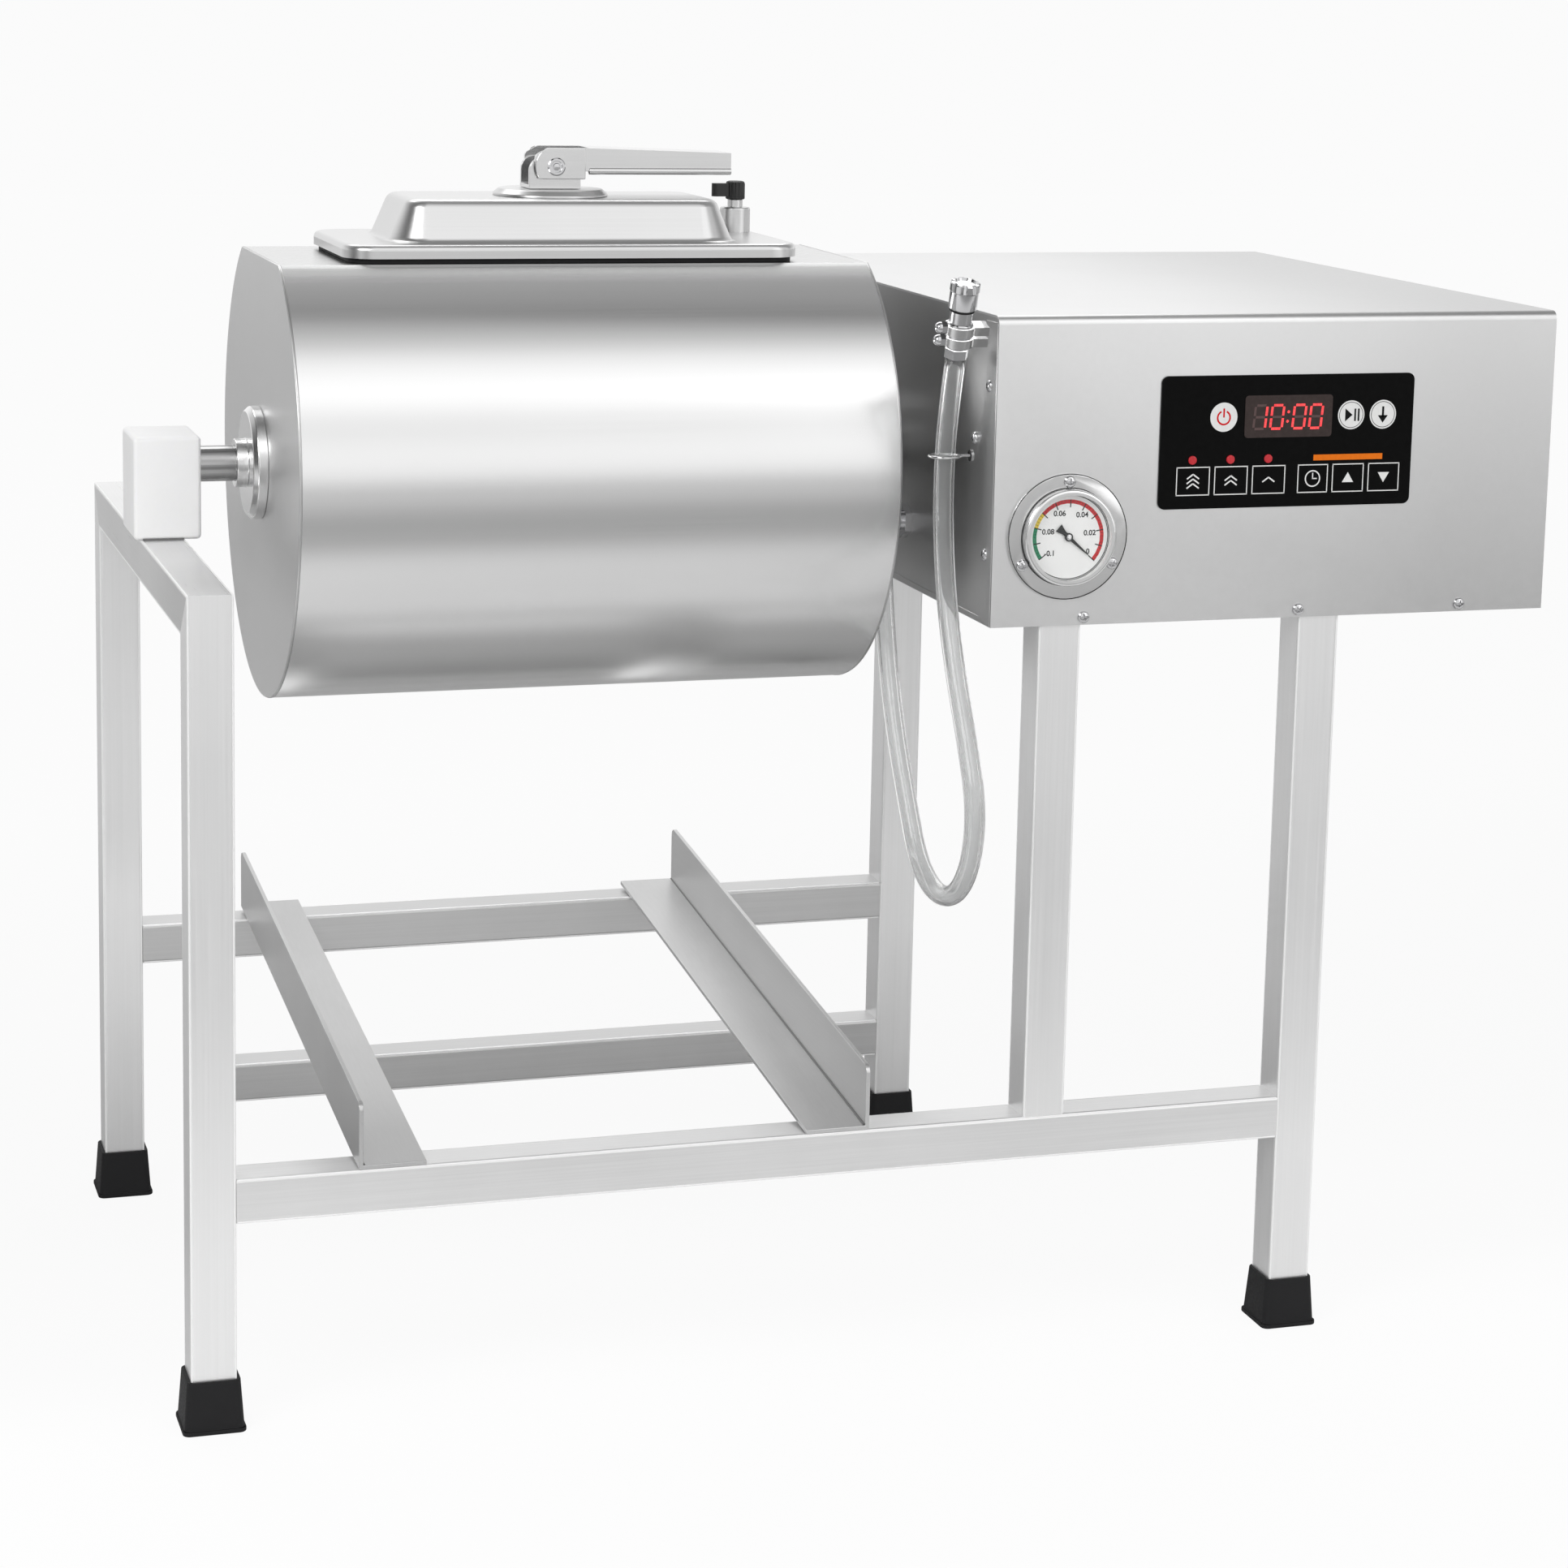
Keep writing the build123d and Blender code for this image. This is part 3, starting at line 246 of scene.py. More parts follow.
def plain(name, colour, rough, metallic=0.0, grain=400.0, vary=0.12, relief=0.1, gloss=0.5):
    """A moulded, cast or polished finish: one colour with fine variation."""
    material, nodes, links, shader = new_material(name)
    shader.inputs["Metallic"].default_value = metallic
    shader.inputs["Specular IOR Level"].default_value = gloss
    speckle = grain_noise(nodes, links, (grain, grain, grain), detail=3.0)
    links.new(spread(nodes, links, speckle, rough * 0.85, min(1.0, rough * 1.2)),
              shader.inputs["Roughness"])
    dark = [part * (1 - vary) for part in colour]
    light = [min(1.0, part * (1 + vary)) for part in colour]
    links.new(tint(nodes, links, spread(nodes, links, speckle, 0.0, 1.0), dark, light),
              shader.inputs["Base Color"])
    if relief:
        bump(nodes, links, shader, speckle, relief, SPECKLE_DEPTH)
    return material

# %% [markdown]
# These steels are one alloy. Their roughness differs with how they were ground. Most of their
# brightness is painted light and shade: lighter copies for lit forms such as the legs, the hub and
# the drum's left end, darker ones for shaded forms such as the rear rails, the box's left panel and
# the drum's right end.

# %% The finishes
leg_steel = steel("leg_steel", "z", 0.95, 0.33, cloud=0.04, metallic=0.80)
rail_steel = steel("rail_steel", "x", 0.84, 0.33, cloud=0.06, metallic=0.82)
# A darker copy for the rear rails: painted shade.
shaded_back_steel = steel("shaded_back_steel", "x", 0.64, 0.33, cloud=0.06, metallic=0.85)
beam_steel = steel("beam_steel", "y", 0.80, 0.30, cloud=0.06, metallic=0.88)
angle_steel = steel("angle_steel", "y", 0.60, 0.34, cloud=0.05, metallic=0.9)
box_steel = steel("box_steel", "even", 0.76, 0.34, cloud=0.02, relief=0.01, metallic=0.94)
# Painted shade: the box darker towards its right and the beam towards its front. Painted light: the
# tray angles brighter towards their right.
paint_shading(box_steel, "X", 0.66, 0.92, 0.80)
paint_shading(angle_steel, "X", 0.24, 0.34, 1.12)
paint_shading(beam_steel, "Y", 0.24, 0.02, 0.84)
flat_steel = steel("flat_steel", "x", 0.64, 0.27, cloud=0.02, relief=0.002, scatter=0.012)
case_steel = steel("case_steel", "even", 0.70, 0.20, cloud=0.01, relief=0.0)
drum_steel = steel("drum_steel", "x", 0.82, 0.25, cloud=0.008, relief=0.002, scatter=0.012)
# A darker copy for faces turned away from the light: painted shade.
shaded_end_steel = steel("shaded_end_steel", "even", 0.54, 0.34, cloud=0.02, relief=0.01)
# A lighter copy for the drum's left end: painted light.
lit_plate_steel = steel("lit_plate_steel", "even", 0.68, 0.38, cloud=0.02, relief=0.0, scatter=0.01)
# A pale, half-diffuse copy that paints the highlight along the tube corners.
highlight_steel = steel("highlight_steel", "even", 0.97, 0.40, cloud=0.01, relief=0.0, metallic=0.35)
lid_steel = steel("lid_steel", "x", 0.71, 0.20, cloud=0.04, relief=0.004, scatter=0.015)
satin_steel = steel("satin_steel", "x", 0.66, 0.29, cloud=0.04, relief=0.002, scatter=0.012)
# A lighter copy for the hub and the gauge bezel: painted light.
lit_pale_steel = steel("lit_pale_steel", "even", 0.84, 0.20, cloud=0.01, relief=0.0)
shaft_steel = steel("shaft_steel", "x", 0.40, 0.16, relief=0.004)
# A near-black copy for the painted shade lines in creases and under the block.
shade_steel = steel("shade_steel", "even", 0.20, 0.34, cloud=0.04, relief=0.02)
clip_steel = steel("clip_steel", "even", 0.62, 0.16, cloud=0.02, relief=0.0)
chrome = plain("chrome", (0.62, 0.62, 0.63), 0.09, metallic=1.0, vary=0.02, relief=0.0)
rubber = plain("rubber", (0.014, 0.014, 0.015), 0.6, grain=600.0, gloss=0.2)
enamel = plain("enamel", (0.93, 0.93, 0.92), 0.38, vary=0.02, relief=0.02)
ink_black = plain("ink_black", (0.006, 0.006, 0.006), 0.5, vary=0.1, relief=0.0, gloss=0.1)
ink_white = plain("ink_white", (0.80, 0.80, 0.79), 0.45, vary=0.03, relief=0.0)
ink_red = plain("ink_red", (0.62, 0.006, 0.012), 0.5, vary=0.05, relief=0.0, gloss=0.1)
ink_yellow = plain("ink_yellow", (0.85, 0.62, 0.03), 0.45, vary=0.05, relief=0.0)
ink_green = plain("ink_green", (0.006, 0.26, 0.11), 0.5, vary=0.05, relief=0.0, gloss=0.1)
ink_orange = plain("ink_orange", (0.80, 0.18, 0.01), 0.5, vary=0.05, relief=0.0, gloss=0.1)
red_lens = plain("red_lens", (0.55, 0.02, 0.03), 0.22, vary=0.1, relief=0.03)
film = plain("film", (0.004, 0.004, 0.004), 0.16, grain=250.0, relief=0.01, gloss=0.06)
smoked = plain("smoked", (0.050, 0.038, 0.036), 0.12, grain=250.0, relief=0.005, gloss=0.1)
black_plastic = plain("black_plastic", (0.018, 0.018, 0.018), 0.42, grain=500.0)
cast_grey = plain("cast_grey", (0.30, 0.32, 0.34), 0.55, grain=300.0, relief=0.25)
board_green = plain("board_green", (0.03, 0.17, 0.07), 0.35)
zinc = plain("zinc", (0.55, 0.56, 0.57), 0.40, metallic=1.0, grain=120.0)
print("materials", len(bpy.data.materials))

# %% [markdown]
# ## Clear hose
# The hose is soft clear vinyl: a thick wall round an empty bore. From the nozzle it hangs down in
# front of the box's left side, loops behind the stand's rear leg and climbs to an elbow on the box.
# One smooth NURBS curve follows the same route as the solid, and a solidify modifier turned inward
# gives it its wall, so that light bends in it as in a real tube.

# %% Vinyl
vinyl, nodes, links, shader = new_material("vinyl")
shader.inputs["Base Color"].default_value = (0.98, 0.985, 0.985, 1.0)
shader.inputs["Transmission Weight"].default_value = 0.93
shader.inputs["IOR"].default_value = 1.30
haze = grain_noise(nodes, links, (40.0, 40.0, 12.0), detail=1.0)
links.new(spread(nodes, links, haze, 0.02, 0.05), shader.inputs["Roughness"])
print("vinyl ready")

# %% [markdown]
# The route could be drawn by hand in the viewport. A list of control points is exact, and one point
# can be changed at a time.

# %% Hose
HOSE_DIAMETER = 0.014
HOSE_WALL = 0.0025
HOSE_X = 0.517
HOSE_ROUTE = [
    (HOSE_X, 0.0260, 0.6950), (HOSE_X, 0.0380, 0.6550), (HOSE_X, 0.0430, 0.6120),
    (HOSE_X, 0.0400, 0.5680), (HOSE_X + 0.0005, 0.0300, 0.5240), (HOSE_X + 0.001, 0.0100, 0.4800),
    (HOSE_X + 0.0015, -0.0140, 0.4400), (HOSE_X + 0.002, -0.0340, 0.3990),
    (HOSE_X + 0.002, -0.0275, 0.3595), (HOSE_X + 0.002, -0.0005, 0.3300),
    (HOSE_X + 0.0015, 0.0385, 0.3210), (HOSE_X + 0.001, 0.0760, 0.3355),
    (HOSE_X + 0.0005, 0.0980, 0.3690), (HOSE_X, 0.1220, 0.4070), (HOSE_X, 0.1430, 0.4490),
    (HOSE_X, 0.1590, 0.4990), (HOSE_X, 0.1690, 0.5480),
]


def smooth_line(name, points, radius, resolution=10):
    """A round curve with the points as the control points of one NURBS spline."""
    curve = bpy.data.curves.new(name, "CURVE")
    curve.dimensions = "3D"
    line = curve.splines.new("NURBS")
    line.points.add(len(points) - 1)
    for point, spot in zip(line.points, points):
        point.co = (*spot, 1.0)
        point.radius = radius
    line.order_u = 3
    line.use_endpoint_u = True
    curve.resolution_u = resolution
    curve.bevel_depth = 1.0
    curve.bevel_resolution = 8
    return bpy.data.objects.new(name, curve)


hose = place(smooth_line("hose", HOSE_ROUTE, HOSE_DIAMETER / 2), "frame", vinyl,
             ["vacuum_hose"])
wall = hose.modifiers.new("wall", "SOLIDIFY")
wall.thickness = HOSE_WALL
wall.offset = -1.0

# %% [markdown]
# ## Studio
# Satin steel is drawn by what it reflects, so the studio matters more than the lamps. The world is
# white round the horizon and greyer overhead, and the floor carries painted shade in a strip in
# front of the machine and under it: a curved sheet of steel turns that into soft light and dark
# bands. The camera itself sees plain white, with a share of the lit floor left in, so that the feet
# keep a soft shadow.

# %% Helper: arithmetic with nodes
def maths(nodes, links, operation, *values):
    """A Math node; each of its inputs is a socket or a plain number."""
    node = nodes.new("ShaderNodeMath")
    node.operation = operation
    for socket, value in zip(node.inputs, values):
        if isinstance(value, float):
            socket.default_value = value
        else:
            links.new(value, socket)
    return node.outputs[0]

# %% Helper: a ramp of greys
def grey_ramp(nodes, links, value, span, stops, reach, blending):
    """A ramp of greys over a span of values; its stops are given between the ends of reach."""
    share = nodes.new("ShaderNodeMapRange")
    share.inputs["From Min"].default_value, share.inputs["From Max"].default_value = span
    links.new(value, share.inputs["Value"])
    node = nodes.new("ShaderNodeValToRGB")
    node.color_ramp.interpolation = blending
    while len(node.color_ramp.elements) < len(stops):
        node.color_ramp.elements.new(0.5)
    for stop, (spot, level) in zip(node.color_ramp.elements, stops):
        stop.position = (spot - reach[0]) / (reach[1] - reach[0])
        stop.color = (level, level, level, 1.0)
    links.new(share.outputs["Result"], node.inputs["Fac"])
    return node.outputs["Color"]

# %% Helper: what only the camera sees
def unseen(nodes, links, share, lit, plain_light, surface):
    """Shows a share of plain light to the camera; all other rays meet what is lit."""
    ray = nodes.new("ShaderNodeLightPath")
    choose = nodes.new("ShaderNodeMixShader")
    links.new(maths(nodes, links, "MULTIPLY", ray.outputs["Is Camera Ray"], share),
              choose.inputs["Fac"])
    links.new(lit, choose.inputs[1])
    links.new(plain_light, choose.inputs[2])
    links.new(choose.outputs["Shader"], surface)

# %% [markdown]
# The light is the product of two ramps: one by the angle from the front horizon (0) over the top
# (90) to the rear (180), one by the bearing, 0 in front and 90 at the machine's right. The low
# stretches are dark cards, which draw dark bands on the steel.

# %% World
SKY = [(0, 1.10), (9, 1.12), (24, 0.92), (40, 1.32), (54, 1.15), (68, 0.62), (84, 0.36),
       (112, 0.34), (140, 0.70), (164, 1.05), (180, 1.05)]
CARDS = [(-180, 1.0), (-125, 0.85), (-98, 0.5), (-88, 0.08), (-72, 0.08), (-64, 0.95), (-50, 1.0),
         (-42, 0.10), (-30, 0.10), (-22, 1.0), (48, 1.0), (56, 0.15), (66, 0.15), (74, 0.95),
         (180, 1.0)]
BACKDROP = 0.964
world = bpy.data.worlds.new("studio")
scene.world = world
world.use_nodes = True
nodes, links = world.node_tree.nodes, world.node_tree.links
nodes.clear()
direction = nodes.new("ShaderNodeTexCoord")
axes = nodes.new("ShaderNodeSeparateXYZ")
links.new(direction.outputs["Generated"], axes.inputs["Vector"])
toward_front = maths(nodes, links, "MULTIPLY", axes.outputs["Y"], -1.0)
climb = maths(nodes, links, "ARCTAN2", axes.outputs["Z"], toward_front)
sky = grey_ramp(nodes, links, climb, (0.0, pi), SKY, (0, 180), "EASE")
bearing = maths(nodes, links, "ARCTAN2", axes.outputs["X"], toward_front)
cards = grey_ramp(nodes, links, bearing, (-pi, pi), CARDS, (-180, 180), "LINEAR")
print("levels by height", len(SKY), "and by bearing", len(CARDS))

# %% World: the light, and what the camera sees
lit = nodes.new("ShaderNodeBackground")
links.new(maths(nodes, links, "MULTIPLY", sky, cards), lit.inputs["Color"])
seen = nodes.new("ShaderNodeBackground")
seen.inputs["Color"].default_value = (1.0, 1.0, 1.0, 1.0)
seen.inputs["Strength"].default_value = BACKDROP
output = nodes.new("ShaderNodeOutputWorld")
unseen(nodes, links, 1.0, lit.outputs["Background"], seen.outputs["Background"],
       output.inputs["Surface"])
scene.view_settings.view_transform = "Standard"
print("world ready")

# %% [markdown]
# The camera sees the floor almost pure white, while the steel sees painted light and shade: a grey
# that changes from the front to the rear, darker in a strip in front of the machine and under it,
# as paper does when only parts of it are lit.

# %% Floor paint: painted light and shade
NEAR, FAR = -4.0, 4.0
# Greys of painted light and shade, by distance from the front in metres.
FLOOR_SHADES = [(NEAR, 0.95), (-2.6, 0.84), (-1.45, 0.42), (-0.85, 0.44), (-0.45, 0.97), (-0.02, 0.97),
         (0.16, 0.55), (0.45, 0.40), (1.0, 0.48), (1.8, 0.66), (FAR, 0.92)]
WHITE_SHARE = 0.93
floor_shade_paint, nodes, links, shader = new_material("floor_shade_paint")
shader.inputs["Roughness"].default_value = 0.9
shader.inputs["Specular IOR Level"].default_value = 0.0
where = nodes.new("ShaderNodeTexCoord")
axes = nodes.new("ShaderNodeSeparateXYZ")
links.new(where.outputs["Object"], axes.inputs["Vector"])
strip = grey_ramp(nodes, links, axes.outputs["Y"], (NEAR, FAR), FLOOR_SHADES, (NEAR, FAR), "EASE")
links.new(strip, shader.inputs["Base Color"])
glow = nodes.new("ShaderNodeEmission")
unseen(nodes, links, WHITE_SHARE, shader.outputs["BSDF"], glow.outputs["Emission"],
       nodes["Material Output"].inputs["Surface"])
print("floor paint with", len(FLOOR_SHADES), "greys")

# %% Floor sheet
work = bmesh.new()
bmesh.ops.create_grid(work, x_segments=1, y_segments=1, size=12.0)
floor = from_bmesh("floor", work)
floor.data.materials.append(floor_shade_paint)
scene.collection.objects.link(floor)
print("floor laid")

# %% [markdown]
# Three cloth boxes give the form: a strong one at the front left, a large weak one at the right and
# one behind and above. Area lamps are soft as such boxes are.

# %% Lamps
def softbox(name, spot, target, size, power):
    data = bpy.data.lights.new(name, "AREA")
    data.shape = "RECTANGLE"
    data.size, data.size_y = size
    data.energy = power
    lamp = bpy.data.objects.new(name, data)
    lamp.location = spot
    aim = Vector(target) - Vector(spot)
    lamp.rotation_euler = aim.to_track_quat("-Z", "Y").to_euler()
    scene.collection.objects.link(lamp)


softbox("key_left", (-1.8, -1.6, 2.2), (0.45, 0.2, 0.5), (1.7, 1.3), 36.0)
softbox("fill_right", (2.6, -1.8, 1.6), (0.6, 0.2, 0.5), (2.4, 2.4), 10.0)
softbox("top_rear", (0.5, 1.6, 2.4), (0.45, 0.3, 0.5), (2.2, 1.0), 16.0)
print("studio ready")

# %% [markdown]
# ## Finishes for the solid parts
# Solids that already have the right shape keep it and only get their finish. The grain of each tube
# runs along its length, as it is rolled, so uprights, rails and the beam differ. The others follow
# below, each with its softened edges or its finer shape.

# %% Give the solids their finishes
FINISHES = {
    leg_steel: ["front_left_leg", "rear_left_leg", "rear_rail_hanger", "right_front_leg",
                "front_post", "rear_right_leg", "rear_post"],
    rail_steel: ["front_rail"],
    shaded_back_steel: ["rear_upper_rail", "rear_lower_rail"],
    # The rear rails take the darker copy of the rail steel: painted shade.
    beam_steel: ["portal_beam"],
    box_steel: ["box_right_panel", "box_rear_panel", "box_base_tray"],
    drum_steel: ["drum_shell", "drum_baffles"],
    flat_steel: ["drum_flat", "opening_collar"],
    satin_steel: ["lid_shell", "valve_body"],
    lid_steel: ["clamp_bar"],
    chrome: ["block_bolts", "hose_elbow"],
    shaft_steel: ["stub_shaft", "drive_shaft"],
    lit_pale_steel: ["gauge_bezel"],
    clip_steel: ["hose_holders"],
    rubber: ["lid_gasket"],
    black_plastic: ["cable_gland"],
    cast_grey: ["drive_bearing", "gearbox", "drive_motor", "vacuum_pump"],
    board_green: ["control_board"],
    zinc: ["motor_bracket"],
    enamel: ["gauge_dial"],
    film: ["keypad_panel"],
    smoked: ["display_window"],
    red_lens: ["indicator_lamps"],
}
for material, names in FINISHES.items():
    for name in names:
        paint(name, material)
print("finished", sum(len(names) for names in FINISHES.values()), "solids")

# %% [markdown]
# ## White bearing block
# The drum's left shaft runs in a block of white polyethylene. It is waxy: light goes a little way
# in and comes out softer, and the sawn faces keep faint grey clouds.

# %% Polyethylene
polyethylene, nodes, links, shader = new_material("polyethylene")
cloudy = grain_noise(nodes, links, (30.0, 30.0, 22.0), detail=6.0, softness=0.7)
whites = (0.93, 0.93, 0.935), (0.985, 0.985, 0.985)
links.new(tint(nodes, links, spread(nodes, links, cloudy, 0.0, 1.0), *whites),
          shader.inputs["Base Color"])
links.new(spread(nodes, links, cloudy, 0.35, 0.5), shader.inputs["Roughness"])
shader.inputs["Subsurface Weight"].default_value = 0.15
shader.inputs["Subsurface Radius"].default_value = (0.006, 0.006, 0.005)
print("polyethylene ready")

# %% [markdown]
# ## Softened edges
# Folded and sawn metal never has a knife edge: a thin line of light runs along it. Each of these
# solids has the right shape and only lacks that line. Its triangles are merged into whole faces
# again, and a small bevel is cut on every sharp edge of the copy, which then stands for the solid.

# %% Helper: a copy with softened edges
def soften(node, body, material, width, segments=2):
    work = bmesh.new()
    work.from_mesh(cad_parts[node].data)
    bmesh.ops.remove_doubles(work, verts=work.verts, dist=1e-6)
    bmesh.ops.dissolve_limit(work, angle_limit=radians(0.6), verts=work.verts, edges=work.edges)
    piece = from_bmesh("soft_" + node, work, smooth_angle=25.0, closed=False)
    edge = piece.modifiers.new("edge", "BEVEL")
    edge.width = width
    edge.segments = segments
    edge.limit_method = "ANGLE"
    edge.angle_limit = radians(35.0)
    edge.harden_normals = True
    return place(piece, body, material, [node])

# %% [markdown]
# How far an edge is broken differs: the cover has the widest bend, the lever and fork are filed
# round, and thin sheet keeps a narrow one. Each row ends with that width in metres.

# %% Softened solids
# The box's left panel and the drum's right end take the darker steel, painted shade; the hub and
# the drum's left end take lighter ones, painted light.
SOFTENED = [
    ("box_left_panel", "frame", shaded_end_steel, "box_steel", 0.0004),
    ("box_cover", "frame", box_steel, "box_steel", 0.0012),
    ("clamp_lever", "lever", lid_steel, "lid_steel", 0.0006),
    ("clamp_fork", "clamp", lid_steel, "lid_steel", 0.0008),
    ("clamp_disc", "clamp", satin_steel, "lid_steel", 0.0005),
    ("hub_flanges", "drum", lit_pale_steel, "drum_steel", 0.0008),
    ("drum_left_end", "drum", lit_plate_steel, "drum_steel", 0.0006),
    ("drum_right_end", "drum", shaded_end_steel, "drum_steel", 0.0006),
    ("left_tray_angle", "frame", angle_steel, "frame_steel", 0.0005),
    ("right_tray_angle", "frame", angle_steel, "frame_steel", 0.0005),
    ("rubber_feet", "frame", rubber, "feet_rubber", 0.0006),
    ("gauge_case", "frame", case_steel, "gauge_chrome", 0.0003),
    ("bearing_block", "frame", polyethylene, "block_plastic", 0.0003),
]
for node, body, material, slot, width in SOFTENED:
    soften(node, body, material, width)
print("softened", len(SOFTENED), "solids")

# %% [markdown]
# ## Prints on the front
# The dial and the keypad are printed. Ink has no thickness worth the name, so each colour is one
# flat mesh that floats six hundredths of a millimetre above its plate. All of it is drawn in
# millimetres to the right, up and out from the box's front, and one matrix turns that into metres.

# %% Helpers: where print goes
def upright(out):
    """Millimetres on an upright face; out is -0.001 where it looks to the front."""
    return Matrix(((0.001, 0, 0, 0), (0, 0, out, 0), (0, 0.001, 0, 0), (0, 0, 0, 1)))


def on_front(x, z, out):
    return upright(-0.001) @ Matrix.Translation((x, z, out))


INK = 0.06

# %% Helpers: patches, strokes and rings
def patch(work, corners):
    """One flat face."""
    work.faces.new([work.verts.new((corner[0], corner[1], 0.0)) for corner in corners])


def bar(work, start, end, width):
    """A straight stroke."""
    a, b = Vector(start), Vector(end)
    along = (b - a).normalized() * width / 2
    side = Vector((-along.y, along.x))
    patch(work, [a - side, b - side, b + side, a + side])


def band(work, u, v, inner, outer, start=0.0, end=360.0, steps=60):
    """A part of a flat ring between two angles; an inner radius near zero makes it a disc."""
    turns = [radians(start + (end - start) * step / steps) for step in range(steps + 1)]
    for a, b in zip(turns, turns[1:]):
        patch(work, [(u + r * cos(t), v + r * sin(t))
                     for r, t in ((inner, a), (outer, a), (outer, b), (inner, b))])


def frame_line(work, left, low, right_side, high, width):
    """The outline of a key."""
    half = width / 2
    for v in (low, high):
        bar(work, (left - half, v), (right_side + half, v), width)
    for u in (left, right_side):
        bar(work, (u, low), (u, high), width)

# %% Helpers: figures, and a print as a piece
FIGURE_SHARE, BOLDER = 0.70, 0.10  # a figure's height in its font size, and its thickening


def figures(work, text, u, v, tall):
    """Figures of the built-in font as flat faces."""
    data = bpy.data.curves.new("figures", "FONT")
    data.body = text
    data.size = tall / FIGURE_SHARE
    data.align_x, data.align_y = "CENTER", "CENTER"
    data.offset = BOLDER
    writing = bpy.data.objects.new("figures", data)
    mesh = bpy.data.meshes.new_from_object(writing)
    mesh.transform(Matrix.Translation((u, v, 0.0)))
    work.from_mesh(mesh)
    bpy.data.objects.remove(writing)
    bpy.data.meshes.remove(mesh)


def printed(name, work, where, material):
    """One colour of ink as a piece, with every face turned to the front."""
    work.transform(where)
    for face in work.faces:
        face.normal_update()
        if face.normal.y > 0:
            face.normal_flip()
    place(from_bmesh(name, work, closed=False), "frame", material)

# %% [markdown]
# ## Vacuum gauge
# The scale runs against the clock from zero at the lower right. Its coloured arc is red, then
# yellow, then green, with eleven long strokes and four short ones between each pair. The figures
# are plain numbers. Meshes keep all of it crisp, however near the camera comes.

# %% Coloured arcs
GAUGE_X, GAUGE_Z = 590.0, 576.0
FLANGE_OUT, DIAL_OUT, NEEDLE_OUT, HUB_OUT = 4.0, 4.6, 5.45, 6.35
STEP_TURN, ZERO_TURN = 25.7, -41.0
ARC_RADIUS, SCALE_RADIUS = 22.9, 25.6
ARCS = [("red", ink_red, 0, 7), ("yellow", ink_yellow, 7, 8), ("green", ink_green, 8, 10)]
for name, ink, first, last in ARCS:
    work = bmesh.new()
    band(work, 0, 0, ARC_RADIUS, SCALE_RADIUS, ZERO_TURN + STEP_TURN * first,
         ZERO_TURN + STEP_TURN * last, 16)
    printed("dial_" + name, work, on_front(GAUGE_X, GAUGE_Z, DIAL_OUT + INK), ink)
print("arcs", len(ARCS))

# %% Strokes and figures
FIGURE_TALL, LONG_STROKE, SHORT_STROKE = 3.6, (20.2, 0.75), (23.2, 0.25)
work = bmesh.new()
for step in range(51):
    turn = radians(ZERO_TURN + STEP_TURN * step / 5)
    inner, width = SHORT_STROKE if step % 5 else LONG_STROKE
    bar(work, (inner * cos(turn), inner * sin(turn)),
        (SCALE_RADIUS * cos(turn), SCALE_RADIUS * sin(turn)), width)
SCALE = [("0", 14.4, -10.3), ("0.02", 15.4, 2.4), ("0.04", 9.6, 14.8), ("0.06", -6.7, 16.0),
         ("0.08", -14.6, 3.7), ("-0.1", -13.1, -11.0)]
for text, u, v in SCALE:
    figures(work, text, u, v, FIGURE_TALL)
printed("dial_scale", work, on_front(GAUGE_X, GAUGE_Z, DIAL_OUT + 2 * INK), ink_black)
print("dial with", len(SCALE), "figures")

# %% Fine lines of the gauge, two of them painted shade
THIN_LINE = 0.55
# The edge and outer rings are painted shade, where the flange meets the box and at the bezel's
# foot; the inner one is a dark line round the dial's edge.
for name, radius, out in (("gauge_shade_edge", 42.3, FLANGE_OUT),
                          ("gauge_shade_outer", 33.1, FLANGE_OUT),
                          ("gauge_line_inner", 28.3, DIAL_OUT)):
    work = bmesh.new()
    band(work, 0, 0, radius, radius + THIN_LINE)
    printed(name, work, on_front(GAUGE_X, GAUGE_Z, out + INK), ink_black)
print("fine lines 3")

# %% [markdown]
# Round pieces are spun from a profile, as on a lathe. Flutes and castle notches are only a smaller
# radius at some of the steps, so the same helper makes knurled and fluted pieces.

# %% Helper: a turned piece
def turned(profile, steps=40, notches=0, depth=0.0, notched=()):
    """Spins pairs of radius and height round Z; the rows named in notched get notches."""
    work = bmesh.new()
    rings = []
    for row, (radius, rise) in enumerate(profile):
        ring = []
        for step in range(steps):
            turn = 2 * pi * step / steps
            reach = radius - depth if row in notched and cos(notches * turn) < -0.1 else radius
            ring.append(work.verts.new((reach * cos(turn), reach * sin(turn), rise)))
        rings.append(ring)
    for low, high in zip(rings, rings[1:]):
        for step in range(steps):
            after = (step + 1) % steps
            work.faces.new((low[step], low[after], high[after], high[step]))
    work.faces.new(rings[0][::-1])
    work.faces.new(rings[-1])
    return work

# %% Helpers: sawn shapes, joined and set in place
def slab(work, corners, low, high):
    """A flat shape of the given outline between two heights."""
    bottom = [work.verts.new((*corner, low)) for corner in corners]
    top = [work.verts.new((*corner, high)) for corner in corners]
    work.faces.new(bottom[::-1])
    work.faces.new(top)
    for step in range(len(corners)):
        after = (step + 1) % len(corners)
        work.faces.new((bottom[step], bottom[after], top[after], top[step]))


def join(work, other, where=None):
    """Adds one bmesh to another, moved by a matrix."""
    if where is not None:
        other.transform(where)
    mesh = bpy.data.meshes.new("joined")
    other.to_mesh(mesh)
    other.free()
    work.from_mesh(mesh)
    bpy.data.meshes.remove(mesh)


def hexagon(radius):
    turns = [radians(turn) for turn in range(0, 360, 60)]
    return [(radius * cos(turn), radius * sin(turn)) for turn in turns]


